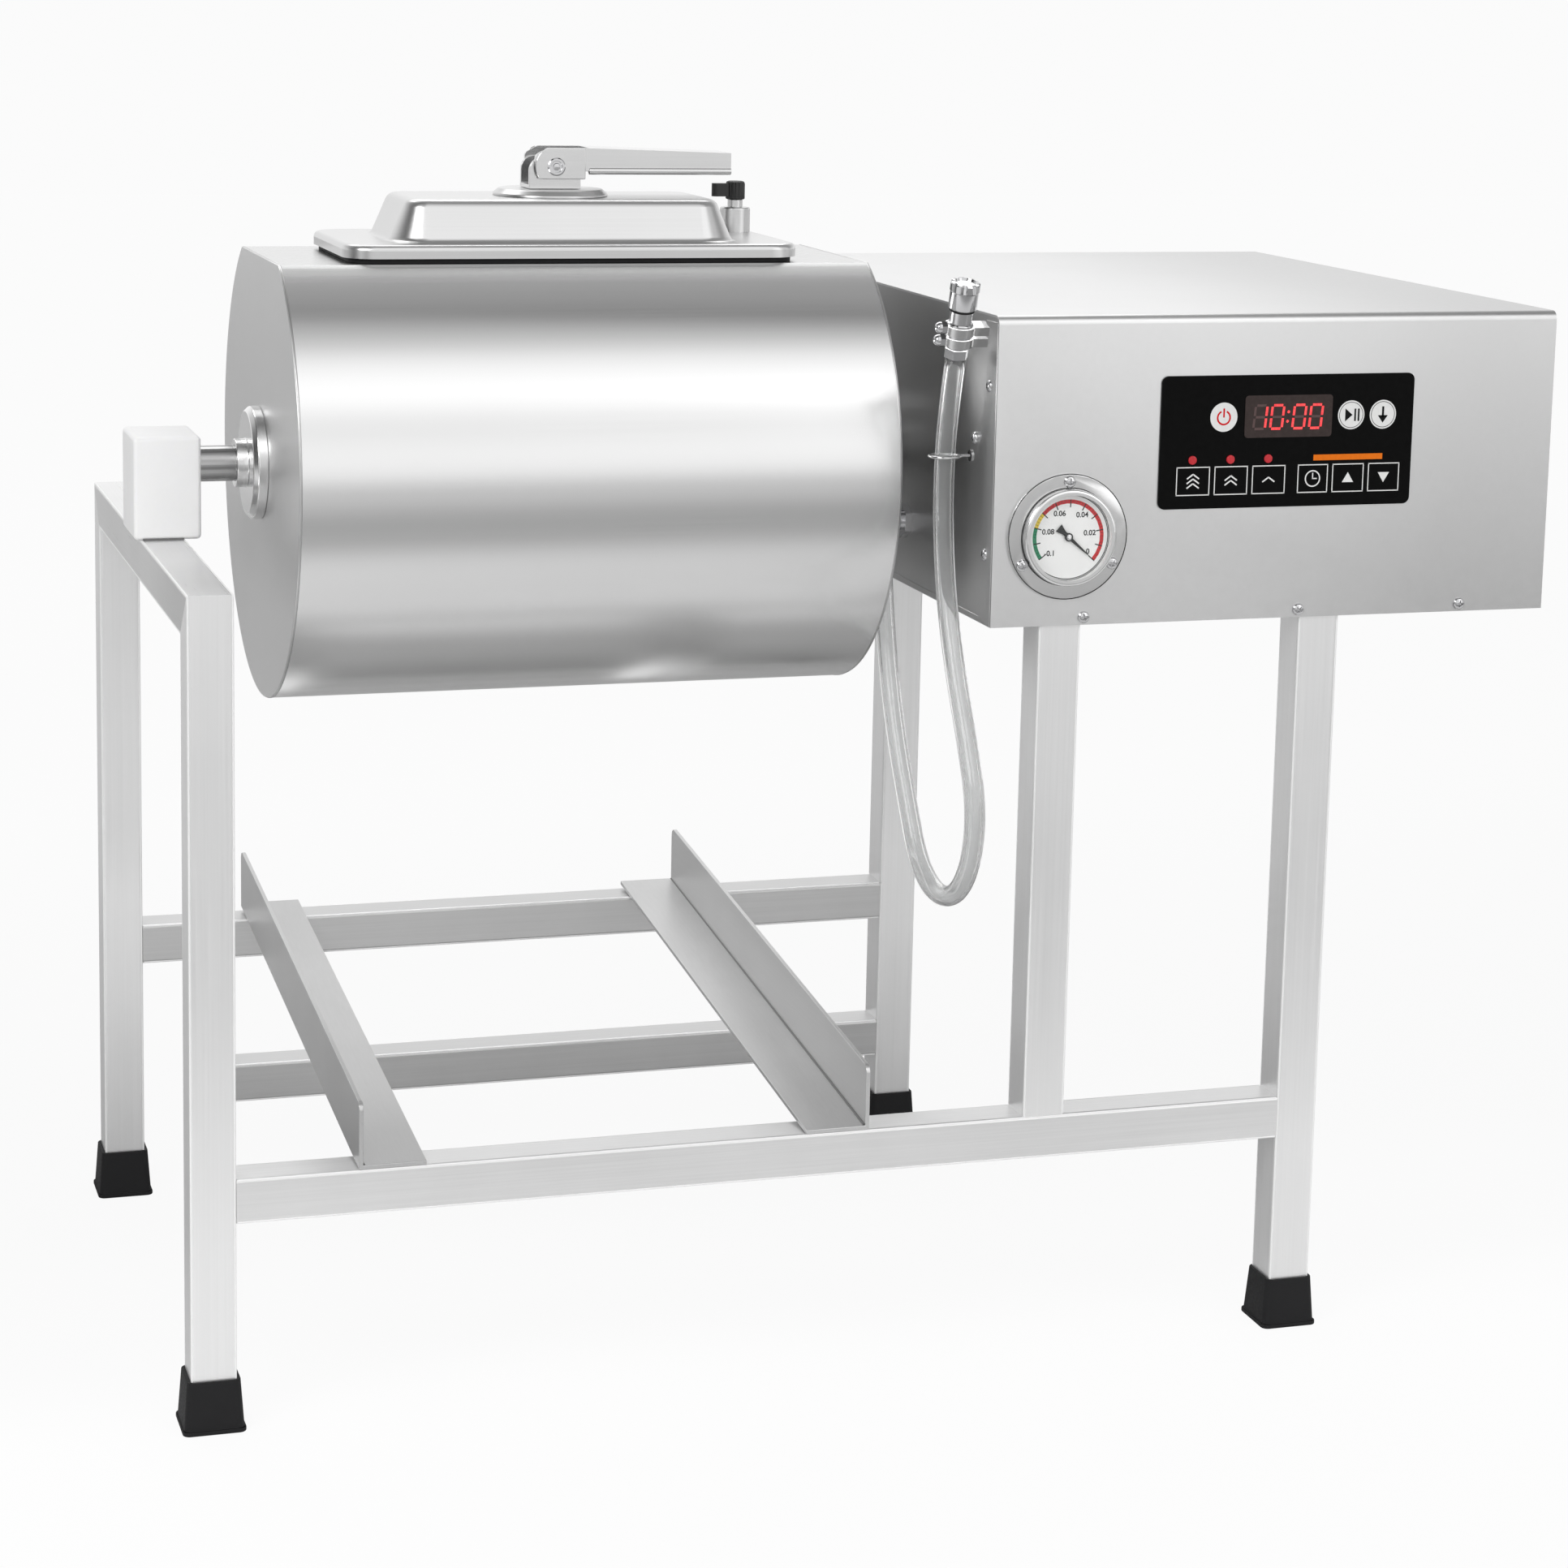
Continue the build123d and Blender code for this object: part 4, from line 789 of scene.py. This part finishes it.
def along(origin, axis):
    """Millimetres round an axis from a point in metres."""
    turn = Vector((0, 0, 1)).rotation_difference(Vector(axis)).to_matrix().to_4x4()
    return Matrix.Translation(origin) @ turn @ Matrix.Scale(0.001, 4)

# %% [markdown]
# The needle is a long taper with a fan-shaped tail, under a hub of two tones. It is drawn pointing
# right and then turned to zero, where its joint starts.

# %% Needle
work = bmesh.new()
slab(work, [(0, 1.25), (14, 0.62), (20.8, 0.08), (20.8, -0.08), (14, -0.62), (0, -1.25),
            (-5, -1.6), (-9.8, -3.1), (-9.8, 3.1), (-5, 1.6)], 0.0, 0.5)
work.transform(Matrix.Rotation(radians(ZERO_TURN), 4, "Z"))
join(work, turned([(2.9, 0.0), (2.9, 0.8), (2.6, 1.0)]))
work.transform(on_front(GAUGE_X, GAUGE_Z, NEEDLE_OUT))
place(from_bmesh("needle", work), "needle", ink_black, ["gauge_needle"])
work = turned([(1.9, 0.0), (1.9, 0.3), (1.4, 0.6), (0.5, 0.75)])
work.transform(on_front(GAUGE_X, GAUGE_Z, HUB_OUT))
place(from_bmesh("needle_hub", work), "needle", chrome)
print("needle set to", ZERO_TURN, "degrees")

# %% [markdown]
# The lens is a thin clear disc. Real refraction in so thin a sheet moves nothing, so a nearly
# transparent surface with a sharp gloss is enough, and it lets the lamps' light reach the dial.

# %% Lens
clear_glass, nodes, links, shader = new_material("clear_glass")
shader.inputs["Base Color"].default_value = (0.9, 0.93, 0.93, 1.0)
shader.inputs["Alpha"].default_value = 0.035
smear = grain_noise(nodes, links, (60.0, 60.0, 60.0), detail=2.0)
links.new(spread(nodes, links, smear, 0.03, 0.07), shader.inputs["Roughness"])
paint("gauge_lens", clear_glass)
print("lens glazed")

# %% [markdown]
# ## Keypad
# A black film carries round touch keys in white, six outlined keys and a red time display. Every
# sign on it is a generic one: a switch sign, arrows, a clock and a play sign. No words are drawn.

# %% Round keys
ROUND_KEYS, ROUND_Z, ROUND_RADIUS = (701.0, 796.0, 820.0), 655.0, 10.0
white, black, red, orange = bmesh.new(), bmesh.new(), bmesh.new(), bmesh.new()
for u in ROUND_KEYS:
    band(white, u, ROUND_Z, 0.05, ROUND_RADIUS)
for u in ROUND_KEYS[1:]:
    band(black, u, ROUND_Z, 8.6, 9.0)
band(red, 701.0, 654.6, 4.0, 5.2, 115.0, 425.0)
bar(red, (701.0, 654.8), (701.0, 661.0), 1.2)
patch(black, [(791.5, 650.5), (791.5, 659.5), (797.0, 655.0)])
for u in (799.0, 801.6):
    bar(black, (u, 650.7), (u, 659.3), 1.3)
bar(black, (820.0, 660.5), (820.0, 653.0), 1.6)
patch(black, [(816.2, 654.4), (820.0, 649.2), (823.8, 654.4)])
print("round keys", len(ROUND_KEYS))

# %% Outlined keys
KEYS = [(668, 692), (696, 720), (724, 748), (758, 780), (784, 807), (811, 834)]
KEY_LOW, KEY_HIGH, KEY_LINE = 602.0, 621.0, 0.7
for left, right_side in KEYS:
    frame_line(white, left, KEY_LOW, right_side, KEY_HIGH, KEY_LINE)
for (left, right_side), shifts in zip(KEYS[:3], ((-3.2, 0.0, 3.2), (-1.6, 1.6), (0.0,))):
    middle = (left + right_side) / 2
    for shift in shifts:
        bar(white, (middle - 4.5, 609.9 + shift), (middle, 613.1 + shift), 1.0)
        bar(white, (middle, 613.1 + shift), (middle + 4.5, 609.9 + shift), 1.0)
band(white, 769.0, 611.5, 4.9, 5.8)
bar(white, (769.0, 611.2), (769.0, 615.4), 0.8)
bar(white, (769.0, 611.5), (772.2, 611.5), 0.8)
patch(white, [(791.2, 608.4), (799.8, 608.4), (795.5, 615.4)])
patch(white, [(818.2, 614.8), (826.8, 614.8), (822.5, 607.8)])
patch(orange, [(769.0, 624.0), (821.0, 624.0), (821.0, 628.0), (769.0, 628.0)])
print("keypad with", len(ROUND_KEYS) + len(KEYS), "keys")

# %% The keypad's four inks
PANEL_OUT = 3.2
printed("keypad_white", white, on_front(0, 0, PANEL_OUT + INK), ink_white)
printed("keypad_black", black, on_front(0, 0, PANEL_OUT + 2 * INK), ink_black)
printed("keypad_red", red, on_front(0, 0, PANEL_OUT + 2 * INK), ink_red)
printed("keypad_orange", orange, on_front(0, 0, PANEL_OUT + INK), ink_orange)
print("keypad printed")

# %% [markdown]
# The display has seven bars to a digit, slanted a little. The unlit bars stay faintly visible in
# the smoked window. The lit ones glow on their own, so that no lamp has to reach them.

# %% Time display
SEGMENTS = {"a": ((0, 2), (1, 2)), "b": ((1, 1), (1, 2)), "c": ((1, 0), (1, 1)),
            "d": ((0, 0), (1, 0)), "e": ((0, 0), (0, 1)), "f": ((0, 1), (0, 2)),
            "g": ((0, 1), (1, 1))}
LIT = {"1": "bc", "0": "abcdef"}
DIGIT_WIDE, HALF_TALL, DIGIT_FOOT, DIGIT_MIDDLE = 8.6, 8.0, 646.6, 654.6
BAR_WIDE, BAR_GAP, SLANT, WINDOW_OUT = 1.7, 0.9, 0.09, 3.8
lit_bars, dim_bars = bmesh.new(), bmesh.new()
for digit, left in zip("1000", (723.5, 736.0, 752.5, 765.0)):
    for bar_name, ends in SEGMENTS.items():
        a, b = [Vector((left + DIGIT_WIDE * u, DIGIT_FOOT + HALF_TALL * v)) for u, v in ends]
        gap = (b - a).normalized() * BAR_GAP
        bar(lit_bars if bar_name in LIT[digit] else dim_bars, a + gap, b - gap, BAR_WIDE)
for v in (651.5, 658.0):
    band(lit_bars, 748.4, v, 0.05, 1.0, steps=20)
print("display with 4 digits")

# %% The display's glow
glow_red, nodes, links, shader = new_material("glow_red")
shader.inputs["Emission Strength"].default_value = 0.55
ripple = grain_noise(nodes, links, (900.0, 900.0, 900.0), detail=1.0)
reds = (0.85, 0.03, 0.04), (1.0, 0.08, 0.08)
glow_colour = tint(nodes, links, spread(nodes, links, ripple, 0.0, 1.0), *reds)
links.new(glow_colour, shader.inputs["Base Color"])
links.new(glow_colour, shader.inputs["Emission Color"])
dim_red = plain("dim_red", (0.085, 0.045, 0.043), 0.4, relief=0.0)
for name, work, ink in (("display_lit", lit_bars, glow_red), ("display_dim", dim_bars, dim_red)):
    for vertex in work.verts:
        vertex.co.x += SLANT * (vertex.co.y - DIGIT_MIDDLE)
    printed(name, work, on_front(0, 0, WINDOW_OUT + INK), ink)
print("display printed")

# %% [markdown]
# ## Screws
# One pan head is turned, a cross recess is cut into it with a boolean, and copies of that mesh go
# where the solid model has its plain heads.

# %% Helper: a pan head with its recess
HEAD = [(4.2, 0.0), (4.2, 0.7), (3.9, 1.5), (3.1, 2.2), (1.6, 2.55), (0.3, 2.6)]
RECESS_LONG, RECESS_NARROW, RECESS_LOW, RECESS_HIGH = 2.4, 0.45, 1.1, 4.0


def pan_head():
    """A turned head with a cross recess, as one mesh."""
    head, cutters = from_bmesh("head", turned(HEAD, 32)), []
    for u, v in ((RECESS_LONG, RECESS_NARROW), (RECESS_NARROW, RECESS_LONG)):
        work = bmesh.new()
        slab(work, [(-u, -v), (u, -v), (u, v), (-u, v)], RECESS_LOW, RECESS_HIGH)
        cutters.append(from_bmesh("cutter", work))
    scene.collection.objects.link(head)
    for cutter in cutters:
        scene.collection.objects.link(cutter)
        cut = head.modifiers.new("cut", "BOOLEAN")
        cut.object = cutter
        cut.solver = "EXACT"
    view = bpy.context.evaluated_depsgraph_get()
    mesh = bpy.data.meshes.new_from_object(head.evaluated_get(view))
    for extra in [head, *cutters]:
        bpy.data.objects.remove(extra)
    return mesh

# %% Screws
head = pan_head()
COVER_OUT, SCREW_CIRCLE, PANEL_X = 2.0, 37.5, 0.537
FRONT_SCREWS = [(604.0, 520.5), (763.0, 520.5), (886.0, 520.5)]
LEFT_SCREWS = [(0.011, 0.677), (0.011, 0.563), (0.036, 0.707), (0.036, 0.639)]
spots = [(on_front(x, z, COVER_OUT), 20 * x) for x, z in FRONT_SCREWS]
spots += [(on_front(GAUGE_X + SCREW_CIRCLE * cos(radians(turn)),
                    GAUGE_Z + SCREW_CIRCLE * sin(radians(turn)), FLANGE_OUT), turn)
          for turn in (90, 210, 330)]
spots += [(along((PANEL_X, y, z), (-1, 0, 0)), 1000 * z) for y, z in LEFT_SCREWS]
work = bmesh.new()
for where, turn in spots:
    copy = bmesh.new()
    copy.from_mesh(head)
    join(work, copy, where @ Matrix.Rotation(radians(turn), 4, "Z"))
place(from_bmesh("screw_heads", work), "frame", chrome, ["panel_screws"])
print("screws", len(spots))

# %% [markdown]
# ## Nozzle, clips and knob
# The hose's nozzle is a turned fitting with a dark ring and a notched cap. On the real machine all
# of it is turned from bar, so here it is spun from the same profiles, in line with the hose's end.

# %% Nozzle
START, NEXT = Vector(HOSE_ROUTE[0]), Vector(HOSE_ROUTE[1])
NOZZLE_BODY = [(6.4, 0.0), (6.4, 7.6), (8.2, 7.8), (8.9, 8.4), (8.9, 24.6), (8.3, 25.4),
               (7.6, 25.7), (7.6, 34.0), (6.8, 34.4)]
SEAL = [(7.4, 33.4), (8.5, 33.8), (8.7, 34.4), (8.5, 35.0), (7.4, 35.4)]
CAP = [(8.6, 35.4), (9.3, 35.8), (9.6, 36.6), (9.6, 47.6), (10.1, 48.4), (10.1, 53.2), (9.5, 53.9),
       (7.6, 54.1), (7.2, 53.4), (6.6, 52.2), (0.4, 52.0)]
nozzle_place = along(START, START - NEXT)
work = bmesh.new()
slab(work, hexagon(8.4), 0.4, 6.8)
join(work, turned(NOZZLE_BODY))
work.transform(nozzle_place)
fitting = place(from_bmesh("nozzle", work), "frame", chrome, ["nozzle_body"])
work = turned(SEAL)
work.transform(nozzle_place)
seal = place(from_bmesh("nozzle_seal", work), "frame", rubber)
work = turned(CAP, 72, notches=8, depth=1.5, notched=(5, 6))
work.transform(nozzle_place)
tip = place(from_bmesh("nozzle_tip", work, smooth_angle=28.0), "frame", chrome,
            ["nozzle_cap"])
print("nozzle of 3 pieces")

# %% [markdown]
# Two spring clips of the solid model hold the nozzle. Each is closed with an acorn nut, which only
# the scene adds. All of them stay out of the steel's reflections, where they would be specks.

# %% Acorn nuts
NUT_CAP = [(3.9, 3.4), (3.9, 4.6), (3.3, 6.2), (2.0, 7.2), (0.3, 7.6)]
NUT_SIDE, NUT_HEIGHTS = -9.8, (12.5, 21.5)
sideways = Matrix.Rotation(-pi / 2, 4, "Y")
work = bmesh.new()
for rise in NUT_HEIGHTS:
    nut = bmesh.new()
    slab(nut, hexagon(4.6), 0.0, 3.4)
    join(nut, turned(NUT_CAP, 24))
    join(work, nut, nozzle_place @ Matrix.Translation((NUT_SIDE, 0.0, rise)) @ sideways)
nuts = place(from_bmesh("clip_nuts", work), "frame", chrome)
for piece in (fitting, seal, tip, nuts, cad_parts["hose_holders"]):
    piece.visible_glossy = False
print("nuts", len(NUT_HEIGHTS))

# %% [markdown]

# %% [markdown]
# The release valve's knob is moulded black plastic: a ribbed cap with one ear for the thumb. The
# cap is turned with shallow notches for its ribs, and the ear is a sawn slab that runs into it.

# %% Valve knob
low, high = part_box("valve_knob")
KNOB = [(5.6, 0.0), (6.6, 0.3), (7.0, 0.8), (7.0, 11.4), (6.4, 12.8), (5.0, 13.4), (0.4, 13.5)]
KNOB_RADIUS, EAR_X, EAR_RADIUS = 0.007, -14.2, 3.6
knob_base = Vector((high[0] - KNOB_RADIUS, (low[1] + high[1]) / 2, low[2]))
work = turned(KNOB, 60, notches=15, depth=0.5, notched=(2, 3, 4))
ear = [(-4.0, -3.6), (-13.0, -3.4)]
ear += [(EAR_X + EAR_RADIUS * cos(radians(turn)), EAR_RADIUS * sin(radians(turn)))
        for turn in range(270, 89, -15)]
ear += [(-13.0, 3.4), (-4.0, 3.6)]
slab(work, ear, 2.2, 11.6)
work.transform(along(knob_base, (0, 0, 1)))
place(from_bmesh("knob", work), "valve", black_plastic, ["valve_knob"])
print("knob placed")

# %% [markdown]
# The lever's head has a thicker cheek on each side, round about the pin, and the pin is a rivet
# with a rolled head. Both are thin discs of their own, so that their edges catch the light.

# %% Outline of the lever's head
low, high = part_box("lever_pin")
PIN = Vector(((low[0] + high[0]) / 2, (low[1] + high[1]) / 2, (low[2] + high[2]) / 2))
HEAD_RADIUS, HEAD_TOP, HEAD_LOW, HEAD_END = 15.0, 12.7, -8.6, 21.0
CHEEK_IN, CHEEK_OUT = 17.4, 18.5
RIVET = [(6.4, 18.4), (6.4, 18.9), (5.6, 19.5), (4.2, 19.5), (3.9, 18.8), (2.6, 18.8), (2.2, 19.4),
         (0.3, 19.45)]
top_turn = pi - asin(HEAD_TOP / HEAD_RADIUS)
low_turn = pi - asin(HEAD_LOW / HEAD_RADIUS)
turns = [top_turn + (low_turn - top_turn) * step / 24 for step in range(25)]
cheek = [(HEAD_RADIUS * cos(turn), HEAD_RADIUS * sin(turn)) for turn in turns]
cheek += [(HEAD_END, HEAD_LOW), (HEAD_END, HEAD_TOP)]
at_pin = Matrix.Translation(PIN)
print("cheek with", len(cheek), "corners")

# %% Cheeks and rivet in place
work, rivet = bmesh.new(), bmesh.new()
for side in (-0.001, 0.001):
    face_out = at_pin @ upright(side)
    plate = bmesh.new()
    slab(plate, cheek, CHEEK_IN, CHEEK_OUT)
    join(work, plate, face_out)
    join(rivet, turned(RIVET, 32), face_out)
head_plates = place(from_bmesh("lever_cheeks", work), "lever", lid_steel)
edge = head_plates.modifiers.new("edge", "BEVEL")
edge.width = 0.0005
edge.segments = 2
edge.limit_method = "ANGLE"
join(rivet, turned([(3.9, -18.5), (3.9, 18.5)], 24),
     at_pin @ Matrix.Rotation(pi / 2, 4, "X") @ Matrix.Scale(0.001, 4))
place(from_bmesh("lever_rivet", rivet), "lever", chrome, ["lever_pin"])
print("lever head with 2 cheeks")

# %% [markdown]
# ## Seams
# Where two sheets meet, the real machine shows a bead or a fold. The drum's wall is welded to its
# end plates all round, and the front cover is folded over the left panel in a narrow flange.

# %% Helper: a line of round section
def bead(name, points, radius, closed=False):
    """A line of round section through the points."""
    curve = bpy.data.curves.new(name, "CURVE")
    curve.dimensions = "3D"
    line = curve.splines.new("POLY")
    line.points.add(len(points) - 1)
    for point, spot in zip(line.points, points):
        point.co = (*spot, 1.0)
    line.use_cyclic_u = closed
    curve.bevel_depth = radius
    curve.bevel_resolution = 3
    return bpy.data.objects.new(name, curve)

# %% Helper: a slim strip
def slim_strip(left, right_side, front, back, bottom, top):
    """A slim strip with chamfered long edges, so that it catches a line of light."""
    work = bmesh.new()
    cut = min(right_side - left, top - bottom) * 0.2
    outline = [(left + cut, bottom), (right_side - cut, bottom), (right_side, bottom + cut),
               (right_side, top - cut), (right_side - cut, top), (left + cut, top),
               (left, top - cut), (left, bottom + cut)]
    rings = [[work.verts.new((x, y, z)) for x, z in outline] for y in (front, back)]
    for step in range(8):
        work.faces.new((rings[0][step - 1], rings[0][step], rings[1][step], rings[1][step - 1]))
    work.faces.new(rings[0])
    work.faces.new(rings[1])
    return work

# %% Drum seams
low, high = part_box("drum_shell")
SUNK, SEAM_OUT, SEAM_RADIUS = 0.0004, 0.0006, 0.0007
RADIUS = (high[1] - low[1]) / 2 - SUNK
AXIS_Y, AXIS_Z = (high[1] + low[1]) / 2, low[2] + RADIUS + SUNK
FLAT_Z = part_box("drum_flat")[1][2] - SUNK
first = atan2(FLAT_Z - AXIS_Z, (RADIUS ** 2 - (FLAT_Z - AXIS_Z) ** 2) ** 0.5)
turns = [first - (pi + 2 * first) * step / 90 for step in range(91)]
outline = [(AXIS_Y + RADIUS * cos(turn), AXIS_Z + RADIUS * sin(turn)) for turn in turns]
for name, x in (("drum_seam_left", low[0] - SEAM_OUT),
                ("drum_seam_right", high[0] + SEAM_OUT)):
    seam = bead(name, [(x, y, z) for y, z in outline], SEAM_RADIUS, closed=True)
    place(seam, "drum", shaded_end_steel)
print("drum seams 2")

# %% [markdown]
# Ground tube corners are a little brighter where the belt rode on them, and they catch a thin
# highlight. A slim pale line just inside each long corner paints that highlight, so that the edge
# is bright from every side.

# %% Painted highlights on the tube corners
TUBES = {"front_left_leg": 2, "rear_left_leg": 2, "right_front_leg": 2, "front_post": 2,
         "rear_post": 2, "rear_right_leg": 2, "rear_rail_hanger": 2, "front_rail": 0,
         "rear_upper_rail": 0, "rear_lower_rail": 0, "portal_beam": 1}
LINE, INSET, END_GAP = 0.00085, 0.00092, 0.0006
work = bmesh.new()
for node, axis in TUBES.items():
    low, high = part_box(node)
    others = [side for side in range(3) if side != axis]
    for first in (low, high):
        for second in (low, high):
            centre = Vector(low)
            centre[others[0]] = first[others[0]] + (INSET if first is low else -INSET)
            centre[others[1]] = second[others[1]] + (INSET if second is low else -INSET)
            centre[axis] = low[axis] + END_GAP
            pole = turned([(LINE, 0.0), (LINE, high[axis] - low[axis] - 2 * END_GAP)], 10)
            lengthwise = Vector([float(side == axis) for side in range(3)])
            pole.transform(Vector((0, 0, 1)).rotation_difference(lengthwise).to_matrix().to_4x4())
            join(work, pole, Matrix.Translation(centre))
place(from_bmesh("tube_corner_highlights", work), "frame", highlight_steel)
print("corners on", len(TUBES), "tubes")

# %% [markdown]
# Painted shade: a dark line in the crease where each tray angle's two legs meet, and a thin dark
# strip under the white block where it stands on the beam. Both are slim straight strips.

# %% Painted shade in the creases and under the block
low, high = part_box("bearing_block")
beam_low, beam_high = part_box("portal_beam")
shadow_strip = slim_strip(beam_low[0] + 0.001, beam_high[0] - 0.001, low[1] - 0.0003, high[1] + 0.0003,
                  low[2] + 0.0001, low[2] + 0.0012)
place(from_bmesh("block_shadow_strip", shadow_strip), "frame", shade_steel)
ANGLE_SHEET, ANGLE_LEG, JOINT_RADIUS = 0.003, 0.045, 0.0011
for node, web_is_left in (("left_tray_angle", True), ("right_tray_angle", False)):
    low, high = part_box(node)
    inner = low[0] + ANGLE_SHEET if web_is_left else high[0] - ANGLE_SHEET
    foot_front, foot_rear = low[2] + ANGLE_SHEET, high[2] - ANGLE_LEG + ANGLE_SHEET
    rise = (foot_rear - foot_front) / (high[1] - low[1])
    ends = [(inner, y, foot_front + rise * (y - low[1])) for y in (low[1] + 0.001, high[1] - 0.001)]
    place(bead(node + "_crease_shade", ends, JOINT_RADIUS), "frame", shade_steel)
print("dark joints 3")

# %% [markdown]
# The front cover is folded round onto the left panel: a narrow upright strip, and a lower one along
# the panel's foot, both drawn as thin slabs in the panel's own plane.

# %% Cover flange
low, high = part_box("box_left_panel")
OVER, FLANGE, FOOT, TOP_GAP = 0.001, 0.021, 0.003, 0.003
front, back = low[1] - OVER, low[1] + FLANGE
under = low[2] - OVER
work = bmesh.new()
slab(work, [(front, under), (back, under), (back, high[2] - TOP_GAP), (front, high[2] - TOP_GAP)],
     0.0, 0.0008)
slab(work, [(back, under), (high[1], under), (high[1], low[2] + FOOT), (back, low[2] + FOOT)],
     0.0, 0.0006)
work.transform(Matrix(((0, 0, -1, low[0]), (1, 0, 0, 0), (0, 1, 0, 0), (0, 0, 0, 1))))
flange = place(from_bmesh("cover_flange", work), "frame", shaded_end_steel)
edge = flange.modifiers.new("edge", "BEVEL")
edge.width = 0.0004
edge.limit_method = "ANGLE"
print("seams placed")
